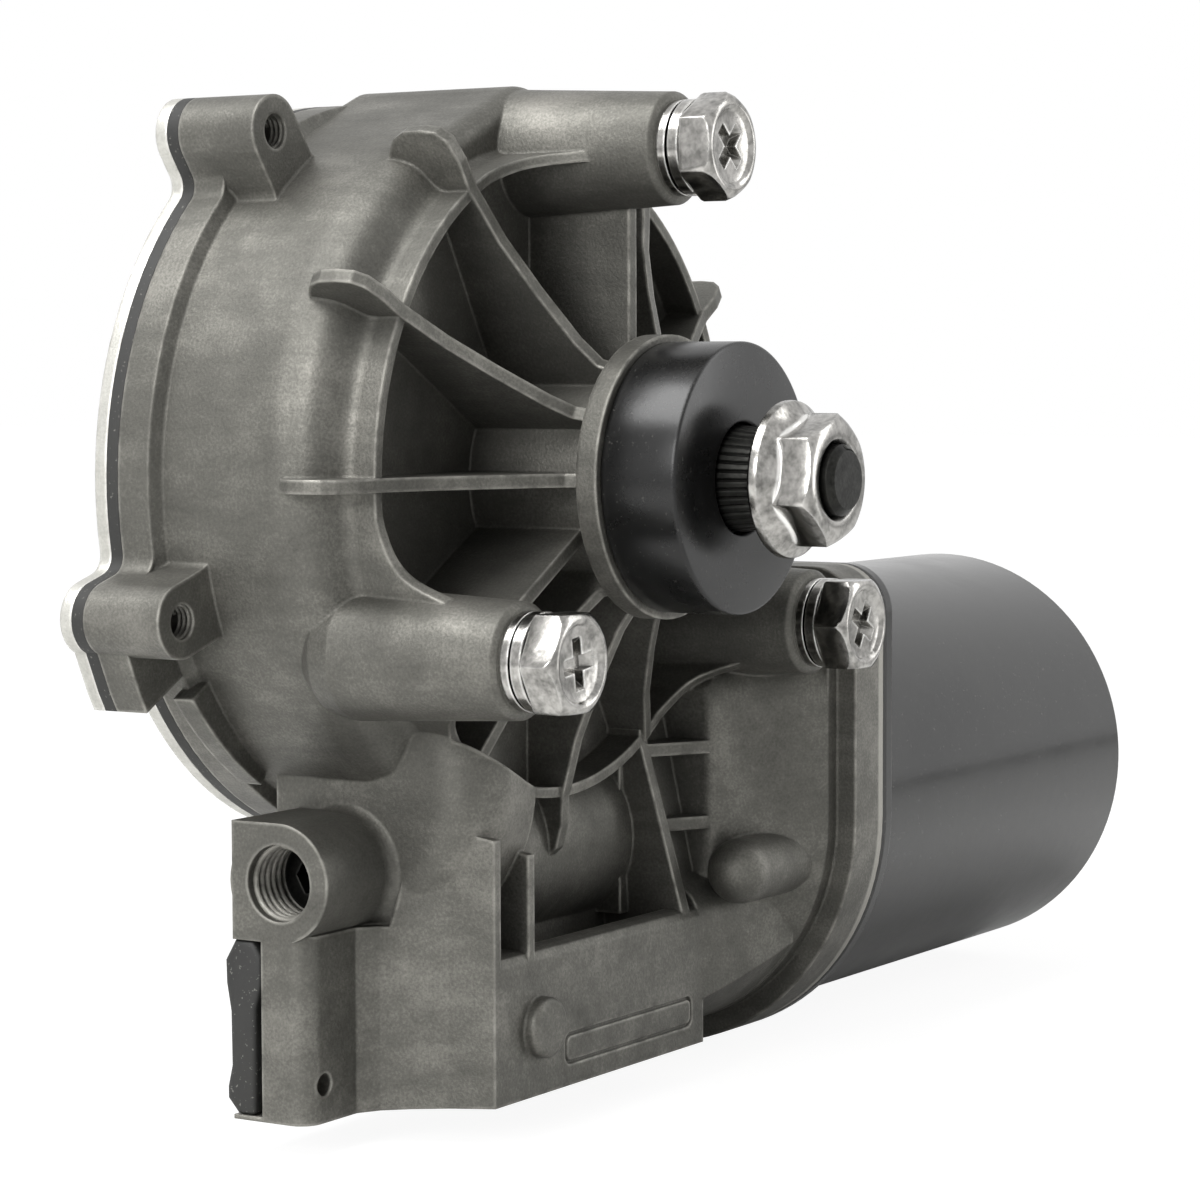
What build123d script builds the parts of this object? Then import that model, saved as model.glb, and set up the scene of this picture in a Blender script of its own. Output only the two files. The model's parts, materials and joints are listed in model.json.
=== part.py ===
from build123d import *
import math
import os

# Wiper motor with a worm gear, in millimetres.
# +Z is up, the output shaft points to -Y and the motor can lies along +X.
# The origin is on the output axis, in the plane of the three post ends.

# Gear train
centre_distance = 54.25
motor_y = 36.0
worm_pitch_r = 8.0
worm_turns = 6
wheel_teeth = 64
wheel_width = 9.0
pressure_angle = 20.0
flank_gap = 0.16
addendum_share = 0.95
dedendum_share = 1.25
wheel_hub_r = 14.0

# Clearances and walls
running_gap = 0.05
seat_gap = 0.02
rest_gap = 0.3
chamber_gap = 1.1
wall = 3.2
hidden = 1.0

# Drum of the gear housing, its ring and its front pockets
floor_y = 25.2
ring_y = 19.5
ring_width = 1.5
ring_drop = 4.6
ring_root_fillet = 2.5
shoulder_run = 5.7
shoulder_rise = 1.2
shoulder_fillet = 5.0
corner_y = 29.5
corner_half = 2.5
corner_fillet = 8.0
flange_y = 51.7
flange_t = 5.2
flange_lip = 1.9

# Hub, cap and output shaft
hub_r = 20.0
hub_front_y = 1.5
hub_ring_t = 3.2
hub_neck_r = 15.5
nose_r = 12.5
nose_front_y = -5.8
cap_r = 19.0
cap_front_y = -10.3
cap_wall = 2.0
journal_r = 7.5
bush_wall = 2.0
bush_length = 12.0
seal_r = 11.0
seal_length = 2.6
washer_t = 0.5
circlip_r = 10.6
circlip_t = 1.1
circlip_groove = 0.8
serration_count = 36
serration_depth = 0.35
cone_small_r = 6.6
output_thread_r = 4.9
shaft_tip_y = -26.6
shaft_rear_y = 44.5
nut_flange_y = -16.7
nut_front_y = -25.1
nut_flange_r = 10.9
nut_flange_t = 1.8
nut_across_flats = 16.0
nut_angle = 20.5

# Mounting posts and their bolts
post_circle_r = 45.87
post_angles = (90, 210, 330)
post_tip_r = 7.9
post_draft = 0.049
post_depth = 33.0
post_fade = 7.0
saddle_front_y = 24.5
saddle_proud = 0.6
saddle_round = 3.0
post_chamfer = 0.7
bolt_r = 4.0
bolt_reach = 14.0
bolt_hole_spare = 0.5
bolt_head_flats = 13.0
bolt_head_t = 5.1
bolt_head_twist = (30, 0, 0)
washer_r = 6.7
plain_washer_t = 1.4
spring_washer_t = 2.2
spring_washer_slot = 1.6

# Radial ribs
rib_t = 1.9
rib_hub_y = 7.4
web_y = 7.7
hook_angles = (0, 30, 60, 120, 150, 180, 240, 270)
hook_rise = 3.6
long_rib_angle = 300
fin_front_y = 9.0

# Cover, gasket and cover screws
gasket_t = 2.0
cover_t = 2.0
cover_step = 2.4
cover_step_inset = 9.0
ear_circle_r = 59.3
ear_angles = (54, 126, 198, 270, 350)
ear_r = 5.1
ear_fillet = 2.6
ear_front_y = 44.0
lobe_r = 62.8
lobe_angles = (199.0, 209.7)
pad_angles = (212.0, 233.0)
pad_r = 56.2
pad_t = 2.4
screw_r = 2.4
screw_tip_y = 47.5
screw_head_r = 4.0
screw_head_t = 1.5

# Worm tube and thrust end
tube_r = 14.5
tube_start_x = -28.0
end_body_x = -31.0
end_body_y = 37.0
end_body_z = -42.0
end_body_r = 24.2
end_body_round = 8.0
end_body_end_x = -17.8
boss_face_x = -46.3
boss_r = 8.2
boss_fillet = 2.2
thrust_thread_r = 5.3
thrust_hole_depth = 8.0
thrust_seat_r = 4.9
thrust_room_r = 6.2
thrust_socket_r = 2.5
thrust_socket_depth = 3.0
ball_r = 2.0
worm_bush_x = -26.0
worm_bush_length = 9.0

# Lower box, end block and terminals
box_front_y = 13.0
box_below_ear = 1.0
box_height = 20.6
box_draft = 1.3
box_end_x = 28.5
box_rear_y = 43.9
groove_front_y = 16.5
groove_depth = 4.0
block_front_y = 31.4
block_round = 3.0
flank_t = 1.5
flank_top_z = -49.0
second_fin_top_z = -52.0
box_wall = 3.0
fin_t = 1.5
second_fin_x = -19.5
long_rib_x = 23.4
shelf_y = 23.0
shelf_left_x = 21.0
shelf_top_z = -38.5
shelf_rib_front_y = 12.5
shelf_rib_heights = (-41.8, -53.2)
upright_rib_x = 33.0
upright_rib_front_y = 17.0
upright_rib_top_z = -42.0
upright_rib_t = 1.6
block_hole_r = 1.6
block_hole_x = -42.4
block_hole_rise = 4.0
disc_r = 4.3
disc_t = 2.0
disc_round = 0.8
disc_x = -16.6
disc_rise = 9.6
plate_left_x = -10.2
plate_right_x = 25.2
plate_height = 4.6
plate_rise = 5.3
plate_depth = 0.5
plate_line = 0.6
terminal_cover_t = 1.2
grommet_width = 4.8
grommet_height = 24.2
grommet_proud = 1.5
grommet_bulge = 1.2

# Motor bell, flange and can
bell_flange_x = 50.0
bell_flange_t = 9.0
bell_flange_r = 37.5
bell_corner_rise = 39.0
bell_corner_r = 7.5
bell_inset = 3.3
bell_step_t = 2.8
flare_length = 15.0
flare_angle = 38.0
flare_round = 3.0
cheek_top_z = -62.0
cheek_depth = 30.0
cheek_round = 6.0
cheek_angle = 17.0
brush_room_r = 29.5
brush_room_x = 45.0
can_seal_t = 1.0
can_lip_t = 2.0
can_r = 35.1
can_wall = 2.0
can_end_x = 157.6
can_end_round = 2.6
can_cup_r = 10.5
can_cup_t = 5.5
through_bolt_r = 2.4
through_bolt_circle_r = 28.1
through_bolt_angle = 192.2
through_boss_r = 4.9
through_boss_x = 27.0
through_head_r = 4.3
through_head_t = 3.0
through_seat_r = 5.4
through_seat_depth = 3.6

# Armature, magnets and brush gear
shaft_r = 5.0
core_r = 25.0
core_start_x = 84.0
core_length = 44.0
slot_count = 12
slot_width = 2.4
slot_depth = 9.0
winding_r = 22.5
winding_inner_r = 8.5
winding_length = 9.0
commutator_r = 11.0
commutator_start_x = 54.0
commutator_length = 15.0
commutator_slit = 0.7
magnet_t = 6.4
magnet_span = 128.0
magnet_length = 50.0
bush_r = 8.5
mid_bush_length = 9.0
mid_bush_x = 31.0
end_bush_length = 8.0
brush_plate_t = 2.0
brush_plate_x = 46.5
brush_width = 6.0
brush_height = 9.0
brush_length = 9.0
holder_wall = 0.8
holder_length = 15.0
spring_r = 2.2
spring_wire = 0.8

# Park switch
park_disc_t = 0.8
park_disc_outer_r = 37.0
park_disc_inner_r = 20.0
park_notch_depth = 6.0
park_notch_width = 12.0
carrier_length = 22.0
carrier_width = 12.0
carrier_t = 6.0
carrier_x = 27.0
carrier_z = 14.0
finger_width = 2.4
finger_t = 0.5
finger_reach = 14.0
finger_pitch = 7.0
blade_width = 4.8
blade_t = 0.8
blade_length = 13.0
blade_pitch = 7.0

# Values worked out from the sizes above
motor_z = -centre_distance
box_top_z = -(ear_circle_r + ear_r + box_below_ear)
box_bottom_z = box_top_z - box_height
ring_root_y = ring_y + ring_drop
wheel_pitch_r = centre_distance - worm_pitch_r
tooth_pitch = 2 * math.pi * wheel_pitch_r / wheel_teeth
module = tooth_pitch / math.pi
addendum = addendum_share * module
dedendum = dedendum_share * module
wheel_tip_r = wheel_pitch_r + addendum
wheel_root_r = wheel_pitch_r - dedendum
wheel_front_y = motor_y - wheel_width / 2
wheel_rear_y = motor_y + wheel_width / 2
worm_tip_r = worm_pitch_r + addendum
worm_root_r = worm_pitch_r - dedendum
worm_half = worm_turns * tooth_pitch / 2
worm_bore_r = worm_tip_r + chamber_gap
tooth_half = tooth_pitch / 4 - flank_gap / 2
flank_slope = math.tan(math.radians(pressure_angle))
chamber_r = wheel_tip_r + chamber_gap
chamber_front_y = floor_y + wall
drum_r = chamber_r + wall
flange_r = drum_r + flange_lip
flange_rear_y = flange_y + flange_t
gasket_rear_y = flange_rear_y + gasket_t
cover_rear_y = gasket_rear_y + cover_t
ring_outer_r = drum_r - shoulder_run
ring_inner_r = ring_outer_r - ring_width
output_bush_r = journal_r + bush_wall
circlip_front_y = nose_front_y - washer_t - running_gap * 2 - circlip_t
hub_rear_y = chamber_front_y + running_gap * 2 + washer_t
spring_washer_y = -plain_washer_t - spring_washer_t
bell_step_x = bell_flange_x - bell_step_t
bell_face_x = bell_flange_x + bell_flange_t
can_lip_x = bell_face_x + can_seal_t
can_tube_x = can_lip_x + can_lip_t
can_inner_r = can_r - can_wall
can_cup_x = can_end_x + can_cup_t
shaft_start_x = tube_start_x - hidden / 2
shaft_end_x = can_cup_x - can_wall - 3 * hidden
thrust_start_x = boss_face_x + thrust_hole_depth
ball_x = shaft_start_x - rest_gap - ball_r
thrust_end_x = ball_x - ball_r - rest_gap
boss_under_z = motor_z - boss_r
commutator_middle_x = commutator_start_x + commutator_length / 2


def along_y(outline, front, rear):
    """Extrudes an outline drawn in X and Z from the front plane to the rear one."""
    return extrude(Plane.XZ.offset(-rear) * outline, rear - front)


def along_x(outline, start, end):
    """Extrudes an outline drawn in Y and Z from the start plane to the end one."""
    return extrude(Plane.YZ.offset(start) * outline, end - start)


def polygon(*points):
    return make_face(Polyline(*points, close=True))


def rod_y(radius, front, rear, x=0.0, z=0.0):
    return along_y(Pos(x, z) * Circle(radius), front, rear)


def rod_x(radius, start, end, y=motor_y, z=motor_z):
    return along_x(Pos(y, z) * Circle(radius), start, end)


def ring_x(outer, inner, start, end):
    return rod_x(outer, start, end) - rod_x(inner, start - hidden, end + hidden)


def polar(radius, angle):
    return (radius * math.cos(math.radians(angle)), radius * math.sin(math.radians(angle)))


def turned(part, angle):
    """Turns a part that lies along +X to an angle from +X towards +Z."""
    return Rot(0, -angle, 0) * part


def about_output(*points):
    """Revolves an outline of radius and Y about the output axis."""
    return revolve(polygon(*points), Axis.Y)


def about_motor(*points):
    """Revolves an outline of X and radius about the armature axis."""
    return on_motor_axis(polygon(*points))


def on_motor_axis(outline):
    return Pos(0, motor_y, motor_z) * revolve(outline, Axis.X)


def rounded_at(outline, radius, *points):
    """Rounds the corners of a flat outline that lie at the given points, where it has them."""
    corners = [v for v in outline.vertices()
               if min(math.hypot(v.X - x, v.Y - y) for x, y in points) < seat_gap]
    return fillet(corners, radius)


def box_between(x0, x1, y0, y1, z0, z1):
    return Pos((x0 + x1) / 2, (y0 + y1) / 2, (z0 + z1) / 2) * Box(x1 - x0, y1 - y0, z1 - z0)


def bell_outline(inset=0.0, rise=bell_corner_rise, corner_r=bell_corner_r):
    """Round motor flange whose upper front corner is squared out, in Y and Z."""
    radius = bell_flange_r - inset
    rise -= inset
    corner = Pos(-radius / 2, rise / 2) * Rectangle(radius, rise)
    corner = fillet(corner.vertices().group_by(Axis.X)[0].sort_by(Axis.Y)[-1], corner_r)
    return Pos(motor_y, motor_z) * (Circle(radius) + corner)


def through_bolt_places():
    first = polar(through_bolt_circle_r, through_bolt_angle)
    return [(motor_y + first[0], motor_z + first[1]), (motor_y - first[0], motor_z - first[1])]


def drum():
    """The round gear case with its ring, hub ring and nose, still solid inside."""
    shoulder = (drum_r - shoulder_rise, corner_y - corner_half)
    corner = (drum_r, corner_y + corner_half)
    outline = polygon(
        (0, nose_front_y), (nose_r, nose_front_y), (nose_r, hub_front_y), (hub_r, hub_front_y),
        (hub_r, hub_front_y + hub_ring_t), (hub_neck_r, hub_front_y + hub_ring_t + hidden),
        (hub_neck_r, floor_y), (ring_inner_r, floor_y), (ring_inner_r, ring_y),
        (ring_outer_r, ring_y), (ring_outer_r, ring_root_y), shoulder, corner, (drum_r, flange_y - 1),
        (flange_r, flange_y), (flange_r, flange_rear_y), (0, flange_rear_y))
    outline = rounded_at(outline, ring_root_fillet, (ring_outer_r, ring_root_y))
    outline = rounded_at(outline, shoulder_fillet, shoulder)
    outline = rounded_at(outline, corner_fillet, corner)
    return revolve(outline, Axis.Y)


def pockets():
    """Space in front of the floor and the ring, which the worm body must leave open."""
    front = cap_front_y
    inner = rod_y(ring_inner_r, front, floor_y)
    outer = rod_y(ring_outer_r, front, ring_y)
    return inner + outer - rod_y(hub_r, front - hidden, floor_y + hidden)


def rib(points, angle, thickness=rib_t):
    """A radial plate from an outline of radius and Y, turned to its angle."""
    return turned(extrude(polygon(*points), thickness / 2, both=True), angle)


def rib_crest():
    """Front edge of a rib from the back of the hub ring to the ring."""
    hub_rear = hub_front_y + hub_ring_t
    return [(hub_neck_r - hidden, hub_rear), (hub_r - 2.4, hub_rear), (hub_r - 1.4, rib_hub_y),
            (hub_r + 2, 9.8), (hub_r + 10, 13.7), (hub_r + 18, 17.0)]


def hooked_rib(angle):
    """Radial rib that climbs from the ring to the hub and hooks over the shoulder."""
    low = floor_y + hidden
    top = drum_r + hook_rise
    return rib(rib_crest() + [
        (ring_outer_r, ring_y - 0.3), (drum_r - 1.6, ring_y - 0.1), (top - 1.8, ring_y + 0.8),
        (top - 0.4, ring_y + 2.4), (top, ring_y + 4.8), (top - 0.1, corner_y - 2.5),
        (top - 1.0, corner_y - 0.6), (top - 2.6, corner_y + 0.6), (drum_r - 1, corner_y + 1.6), (drum_r - 6, low + 2),
        (hub_neck_r - hidden, low)], angle)


def inner_rib(angle):
    """Radial rib between the hub and the ring."""
    low = floor_y + hidden
    return rib(rib_crest() + [(ring_outer_r - 0.2, ring_y - 0.3), (ring_outer_r - 0.2, low),
                              (hub_neck_r - hidden, low)], angle)


def post_web(angle):
    """Deep web from the hub to a mounting post, with its front edge near the post end."""
    low = floor_y + hidden
    reach = post_circle_r - post_tip_r + 2
    return rib([(hub_neck_r - hidden, web_y), (reach, web_y), (reach, low),
                (hub_neck_r - hidden, low)], angle)


def post_fins(angle):
    """Raised stretches of the ring on both sides of a post, which climb towards the post end."""
    near = post_tip_r
    far = near + 12
    band = rod_y(ring_outer_r, 0, floor_y) - rod_y(ring_inner_r, -hidden, floor_y + hidden)
    fins = []
    for side in (1, -1):
        crest = Spline((fin_front_y, side * near), (fin_front_y + 4, side * (near + 1.6)),
                       (fin_front_y + 7.8, side * (near + 4.1)), (ring_y - 0.7, side * (near + 8)),
                       (ring_y + 0.2, side * far))
        back = Polyline((ring_y + 0.2, side * far), (floor_y, side * far), (floor_y, side * (near - 3)),
                        (fin_front_y, side * (near - 3)), (fin_front_y, side * near))
        fin = along_x(make_face([crest, back]), drum_r / 2, ring_outer_r + hidden)
        fins.append(turned(fin & band, angle))
    return fins


def post(angle):
    """Tapered mounting post with a chamfered end, which fades into the side of the drum."""
    x, z = polar(post_circle_r, angle)
    wide_y = post_depth - post_fade
    base_r = post_tip_r + post_draft * wide_y
    fade_y = post_depth - post_fade / 2
    body = about_output((0, 0), (post_tip_r - post_chamfer, 0), (post_tip_r, post_chamfer), (base_r, wide_y),
                        (base_r - 0.7, fade_y), (base_r - 3.6, post_depth), (0, post_depth))
    return Pos(x, 0, z) * body


def saddle():
    """Fills the drum out to the top post on both sides, back to the flange."""
    base_r = post_tip_r + post_draft * saddle_front_y + saddle_proud
    lean = math.degrees(math.asin((drum_r - base_r) / post_circle_r))
    low = polar(drum_r, lean)
    high = polar(base_r, lean)
    top = (high[0], post_circle_r + high[1])
    outline = polygon(low, top, (-top[0], top[1]), (-low[0], low[1]), (0, 0))
    outline += Pos(0, post_circle_r) * Circle(base_r)
    body = along_y(outline, saddle_front_y, flange_y + hidden)
    rim = [e for e in body.edges().group_by(Axis.Y)[0] if e.bounding_box().max.Z > low[1]]
    return fillet(rim, saddle_round)


def with_ears(outline, radius, margin=0.0):
    """Adds the screw ears to a round outline, with fillets where they leave it."""
    width = ear_r + margin
    half = math.degrees(math.asin(width / radius))
    corners = []
    for angle in ear_angles:
        x, z = polar(ear_circle_r, angle)
        neck = Pos((wheel_tip_r + ear_circle_r) / 2, 0) * Rectangle(ear_circle_r - wheel_tip_r, 2 * width)
        outline += Pos(x, z) * Circle(width)
        outline += Rot(0, 0, angle) * neck
        corners += [polar(radius, angle - half), polar(radius, angle + half)]
    return rounded_at(outline, ear_fillet - margin, *corners)


def lobe():
    """Side lobe of the flange next to one ear, cut off square at its lower end."""
    start, end = lobe_angles
    middle = (start + end) / 2
    inner = drum_r - wall
    outer = lobe_r / math.cos(math.radians((end - start) / 4))
    return polygon(polar(inner, start), polar(lobe_r, start), polar(outer, (start + middle) / 2),
                   polar(lobe_r, middle), polar(outer, (middle + end) / 2), polar(lobe_r, end),
                   polar(inner, end))


def cover_outline(margin=0.0):
    """Flange outline with its ears and its side lobe, in X and Z."""
    return with_ears(Circle(flange_r + margin) + lobe(), flange_r + margin, margin)


def rim_pad():
    """Raised pad along the lower left of the flange."""
    steps = 6
    start, end = pad_angles
    angles = [start + (end - start) * i / steps for i in range(steps + 1)]
    outer = [polar(pad_r - (pad_r - flange_r) * i / steps, a) for i, a in enumerate(angles)]
    inner = [polar(drum_r - hidden, a) for a in reversed(angles)]
    return along_y(polygon(*outer, *inner), flange_y - pad_t, flange_y + hidden)


def worm_body():
    """Cast tube round the worm, and the large rounded body at its left end."""
    tube = rod_x(tube_r, end_body_end_x - hidden, mid_bush_x + mid_bush_length)
    outline = polygon((end_body_x, 0), (end_body_x, end_body_r), (end_body_end_x, end_body_r),
                      (end_body_end_x, 0))
    body = revolve(rounded_at(outline, end_body_round, (end_body_x, end_body_r)), Axis.X)
    body = Pos(0, end_body_y, end_body_z) * body
    body &= box_between(end_body_x - hidden, end_body_end_x + hidden, 0, flange_y - 4,
                        box_top_z - 5, hub_neck_r)
    return tube + body


def lower_box():
    """Terminal box under the worm tube, with its end block and thrust boss."""
    low_z = box_bottom_z - box_draft
    outline = polygon(
        (box_front_y, box_bottom_z), (box_front_y, box_top_z - 1.5), (box_front_y + 0.5, box_top_z - 0.4),
        (box_front_y + 1.6, box_top_z), (box_rear_y, box_top_z), (box_rear_y, low_z),
        (block_front_y, low_z))
    body = along_x(outline, tube_start_x, box_end_x)
    groove = polygon(
        (groove_front_y, box_top_z + hidden), (groove_front_y, box_top_z),
        (groove_front_y + 1.5, box_top_z - groove_depth), (motor_y - tube_r * 0.6, box_top_z - groove_depth),
        (motor_y - tube_r * 0.6, box_top_z + hidden))
    body -= along_x(groove, second_fin_x + fin_t, long_rib_x)
    face = polygon((boss_face_x, block_front_y), (tube_start_x + hidden, block_front_y),
                   (tube_start_x + hidden, box_rear_y), (boss_face_x, box_rear_y))
    face = fillet(face.vertices().sort_by(Axis.Y)[:2].sort_by(Axis.X)[0], block_round)
    body += extrude(Plane.XY.offset(low_z) * face, boss_under_z + hidden - low_z)
    root_x = end_body_x + rest_gap
    root_r = boss_r + boss_fillet + rest_gap
    boss = polygon((boss_face_x, 0), (boss_face_x, boss_r), (root_x, boss_r), (root_x, root_r),
                   (tube_start_x + hidden, root_r), (tube_start_x + hidden, 0))
    body += on_motor_axis(rounded_at(boss, boss_fillet, (root_x, boss_r)))
    body += box_between(boss_face_x, tube_start_x + hidden, motor_y, box_rear_y,
                        boss_under_z, motor_z + boss_r)
    return body


def box_flank():
    """Left side of the box, which curves out to the end block and rises to a thin edge in front."""
    back_y = block_front_y + flank_t
    end_x = tube_start_x - 7
    low_z = box_bottom_z - box_draft
    plan = polygon((tube_start_x, box_front_y), (tube_start_x - 1, box_front_y + 7),
                   (tube_start_x - 2.6, box_front_y + 12.4), (tube_start_x - 4.4, box_front_y + 16.2),
                   (end_x, block_front_y + seat_gap), (end_x, back_y), (tube_start_x + flank_t, back_y),
                   (tube_start_x + flank_t, box_front_y))
    plate = extrude(Plane.XY.offset(low_z) * plan, flank_top_z + 3 - low_z)
    side = polygon((box_front_y, box_bottom_z), (box_front_y, flank_top_z), (motor_y - 12, flank_top_z + 2),
                   (motor_y - 8, boss_under_z + hidden), (back_y, boss_under_z + hidden), (back_y, low_z),
                   (block_front_y, low_z))
    return plate & along_x(side, end_x, tube_start_x + flank_t)


def second_fin():
    """Thin upright fin between the worm body and the front edge of the box."""
    outline = polygon((box_front_y, box_top_z - 2), (box_front_y, second_fin_top_z),
                      (motor_y - 12, second_fin_top_z + 2), (motor_y - 8, box_top_z - 2))
    return along_x(outline, second_fin_x, second_fin_x + fin_t)


def cheek():
    """Widening of the box towards its right end, which runs out into the bell."""
    width = cheek_depth
    height = cheek_top_z - box_bottom_z
    middle = Pos(box_front_y + width / 2, box_bottom_z + height / 2)
    outline = middle * RectangleRounded(width, height, cheek_round)
    body = extrude(Plane.YZ.offset(box_end_x - hidden) * outline, bell_step_x - box_end_x, taper=-cheek_angle)
    return body & along_x(bell_outline(bell_inset), box_end_x - 2 * hidden, bell_step_x)


def bell():
    """Motor bell: a flared D-shaped body, its step and the motor flange."""
    narrowing = flare_length * math.tan(math.radians(flare_angle))
    outline = bell_outline(bell_inset, bell_flange_r, flare_round + narrowing + hidden)
    flare = extrude(Plane.YZ.offset(bell_step_x) * outline, -flare_length, taper=flare_angle)
    flare = fillet(flare.faces().sort_by(Axis.X)[0].edges(), flare_round)
    step = along_x(bell_outline(bell_inset), bell_step_x, bell_flange_x)
    flange = along_x(bell_outline(), bell_flange_x, bell_face_x)
    return flare + step + flange


def shelf():
    """Wall between the ring, the box and the bell, before its ribs are added."""
    floor = box_between(shelf_left_x, brush_room_x - wall, shelf_y, box_rear_y, box_top_z - hidden, -30.0)
    corner = along_x(polygon((shelf_y, -34.0), (shelf_y - 7, box_top_z), (shelf_y - 7, box_top_z - hidden),
                             (shelf_y + 7, box_top_z - hidden), (shelf_y + 7, -34.0)),
                     box_end_x - 2.5, box_end_x + 7)
    return floor + corner


def shelf_ribs():
    """Long sloping rib below the ring, short ribs to the bell and one upright rib."""
    low_z = box_top_z - 3
    rear = shelf_y + 11
    crest = along_x(polygon((ring_y, shelf_top_z), (ring_y, shelf_top_z - 2), (box_front_y, low_z + 0.6),
                            (box_front_y, low_z), (rear, low_z), (rear, shelf_top_z)),
                    long_rib_x - 5, long_rib_x + 5)
    top_x = long_rib_x - 2.4
    plate = along_y(polygon((top_x, shelf_top_z), (top_x + 2, shelf_top_z), (long_rib_x + 2.2, low_z),
                            (long_rib_x, low_z)), box_front_y, rear)
    ribs = [plate & crest]
    start_x = long_rib_x - 0.9
    for z in shelf_rib_heights:
        outline = polygon((start_x, ring_y), (upright_rib_x + 2, shelf_rib_front_y),
                          (brush_room_x - wall, shelf_rib_front_y), (brush_room_x - wall, shelf_y + 2),
                          (start_x, shelf_y + 2))
        ribs.append(Pos(0, 0, z) * extrude(outline, rib_t / 2, both=True))
    ribs.append(box_between(upright_rib_x, upright_rib_x + upright_rib_t, upright_rib_front_y, shelf_y + 2,
                            shelf_rib_heights[1], upright_rib_top_z))
    return ribs


def gear_housing():
    body = drum() + worm_body() + lower_box() + bell() + shelf()
    body -= pockets()
    parts = [box_flank(), second_fin(), cheek()] + shelf_ribs()
    parts += [hooked_rib(angle) for angle in hook_angles]
    parts.append(inner_rib(long_rib_angle))
    for angle in post_angles:
        parts += [post(angle), post_web(angle)] + post_fins(angle)
    parts.append(saddle())
    parts.append(along_y(with_ears(Circle(drum_r - hidden), drum_r - hidden), ear_front_y, flange_y + hidden))
    parts.append(along_y(cover_outline(), flange_y, flange_rear_y))
    parts.append(rim_pad())
    y, z = through_bolt_places()[0]
    parts.append(rod_x(through_boss_r, through_boss_x + through_boss_r, bell_flange_x, y, z))
    parts.append(Pos(through_boss_x + through_boss_r, y, z) * Sphere(through_boss_r))
    disc = rod_y(disc_r, box_front_y - disc_t, box_front_y + hidden, disc_x, box_bottom_z + disc_rise)
    parts.append(fillet(disc.edges().group_by(Axis.Y)[0], disc_round))
    for part in parts:
        body += part
    for cut in housing_cuts():
        body -= cut
    return body


def housing_cuts():
    """Everything that is bored, cored or sunk into the casting."""
    middle_x = (plate_left_x + plate_right_x) / 2
    width = plate_right_x - plate_left_x
    line = RectangleRounded(width, plate_height, plate_height * 0.3)
    line -= RectangleRounded(width - 2 * plate_line, plate_height - 2 * plate_line, plate_height * 0.2)
    line = Pos(middle_x, box_bottom_z + plate_rise) * line
    cuts = [along_y(line, box_front_y - hidden, box_front_y + plate_depth)]

    # Gear chamber, hub bore, seal seat and the room of the cover
    cuts.append(rod_y(chamber_r, chamber_front_y, flange_rear_y + hidden))
    cuts.append(rod_y(output_bush_r, nose_front_y - hidden, chamber_front_y + hidden))
    cuts.append(rod_y(seal_r, nose_front_y - hidden, nose_front_y + seal_length))
    room = along_y(cover_outline(rest_gap), flange_rear_y, cover_rear_y + flange_t)
    cuts.append(room - rod_x(can_r, bell_flange_x, bell_face_x))

    # Worm bore, bush seats, thrust hole and brush room
    cuts.append(rod_x(worm_bore_r, worm_bush_x + worm_bush_length, mid_bush_x))
    cuts.append(rod_x(bush_r, worm_bush_x, worm_bush_x + worm_bush_length + hidden))
    cuts.append(rod_x(thrust_thread_r, boss_face_x - hidden, thrust_start_x))
    cuts.append(rod_x(thrust_seat_r, boss_face_x - hidden, thrust_end_x + hidden))
    cuts.append(rod_x(thrust_room_r, thrust_end_x, worm_bush_x + hidden))
    cuts.append(rod_x(bush_r, mid_bush_x - hidden, brush_room_x + hidden))
    cuts.append(rod_x(brush_room_r, brush_room_x, bell_face_x + hidden))
    for y, z in through_bolt_places():
        cuts.append(rod_x(through_bolt_r + seat_gap, brush_room_x - 6, bell_face_x + hidden, y, z))

    # Terminal room, open to the rear, and the outlet of the cable grommet
    cuts.append(box_between(tube_start_x + box_wall, box_end_x - 2 * box_wall, box_front_y + box_wall,
                            box_rear_y + hidden, box_bottom_z + box_wall,
                            box_top_z - groove_depth - box_wall))
    outlet_y = box_rear_y - grommet_width - seat_gap
    cuts.append(box_between(boss_face_x - hidden, tube_start_x - box_wall, outlet_y, box_rear_y + hidden,
                            boss_under_z - grommet_height - seat_gap, boss_under_z + seat_gap))
    cuts.append(rod_y(block_hole_r, block_front_y - hidden, block_front_y + box_wall, block_hole_x,
                      box_bottom_z + block_hole_rise))

    # Bolt holes and cover screw holes
    for angle in post_angles:
        x, z = polar(post_circle_r, angle)
        cuts.append(rod_y(bolt_r + seat_gap, -hidden, bolt_reach + bolt_hole_spare, x, z))
    for angle in ear_angles:
        x, z = polar(ear_circle_r, angle)
        cuts.append(rod_y(screw_r + seat_gap, ear_front_y - hidden, flange_rear_y + hidden, x, z))
    return cuts


def cable_grommet():
    """Soft grommet at the cable outlet, wider at its top."""
    top = boss_under_z
    low = top - grommet_height
    back = box_rear_y + grommet_proud
    front = box_rear_y - grommet_width
    outline = polygon(
        (front + grommet_bulge, top), (back - 1.5, top), (back, top - 3), (back, top - 7),
        (back - 0.8, top - 10), (back - 0.8, top - 18), (back, top - 20), (back - 2.0, low),
        (front + grommet_bulge, low), (front + grommet_bulge, top - 9), (front, top - 5), (front, top - 2))
    return along_x(outline, boss_face_x, tube_start_x - box_wall)


def screw_holes(radius):
    return [Pos(*polar(ear_circle_r, angle)) * Circle(radius) for angle in ear_angles]


def cover_gasket():
    outline = cover_outline() - Circle(chamber_r)
    for hole in screw_holes(screw_r + rest_gap):
        outline -= hole
    return along_y(outline, flange_rear_y, gasket_rear_y)


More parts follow.
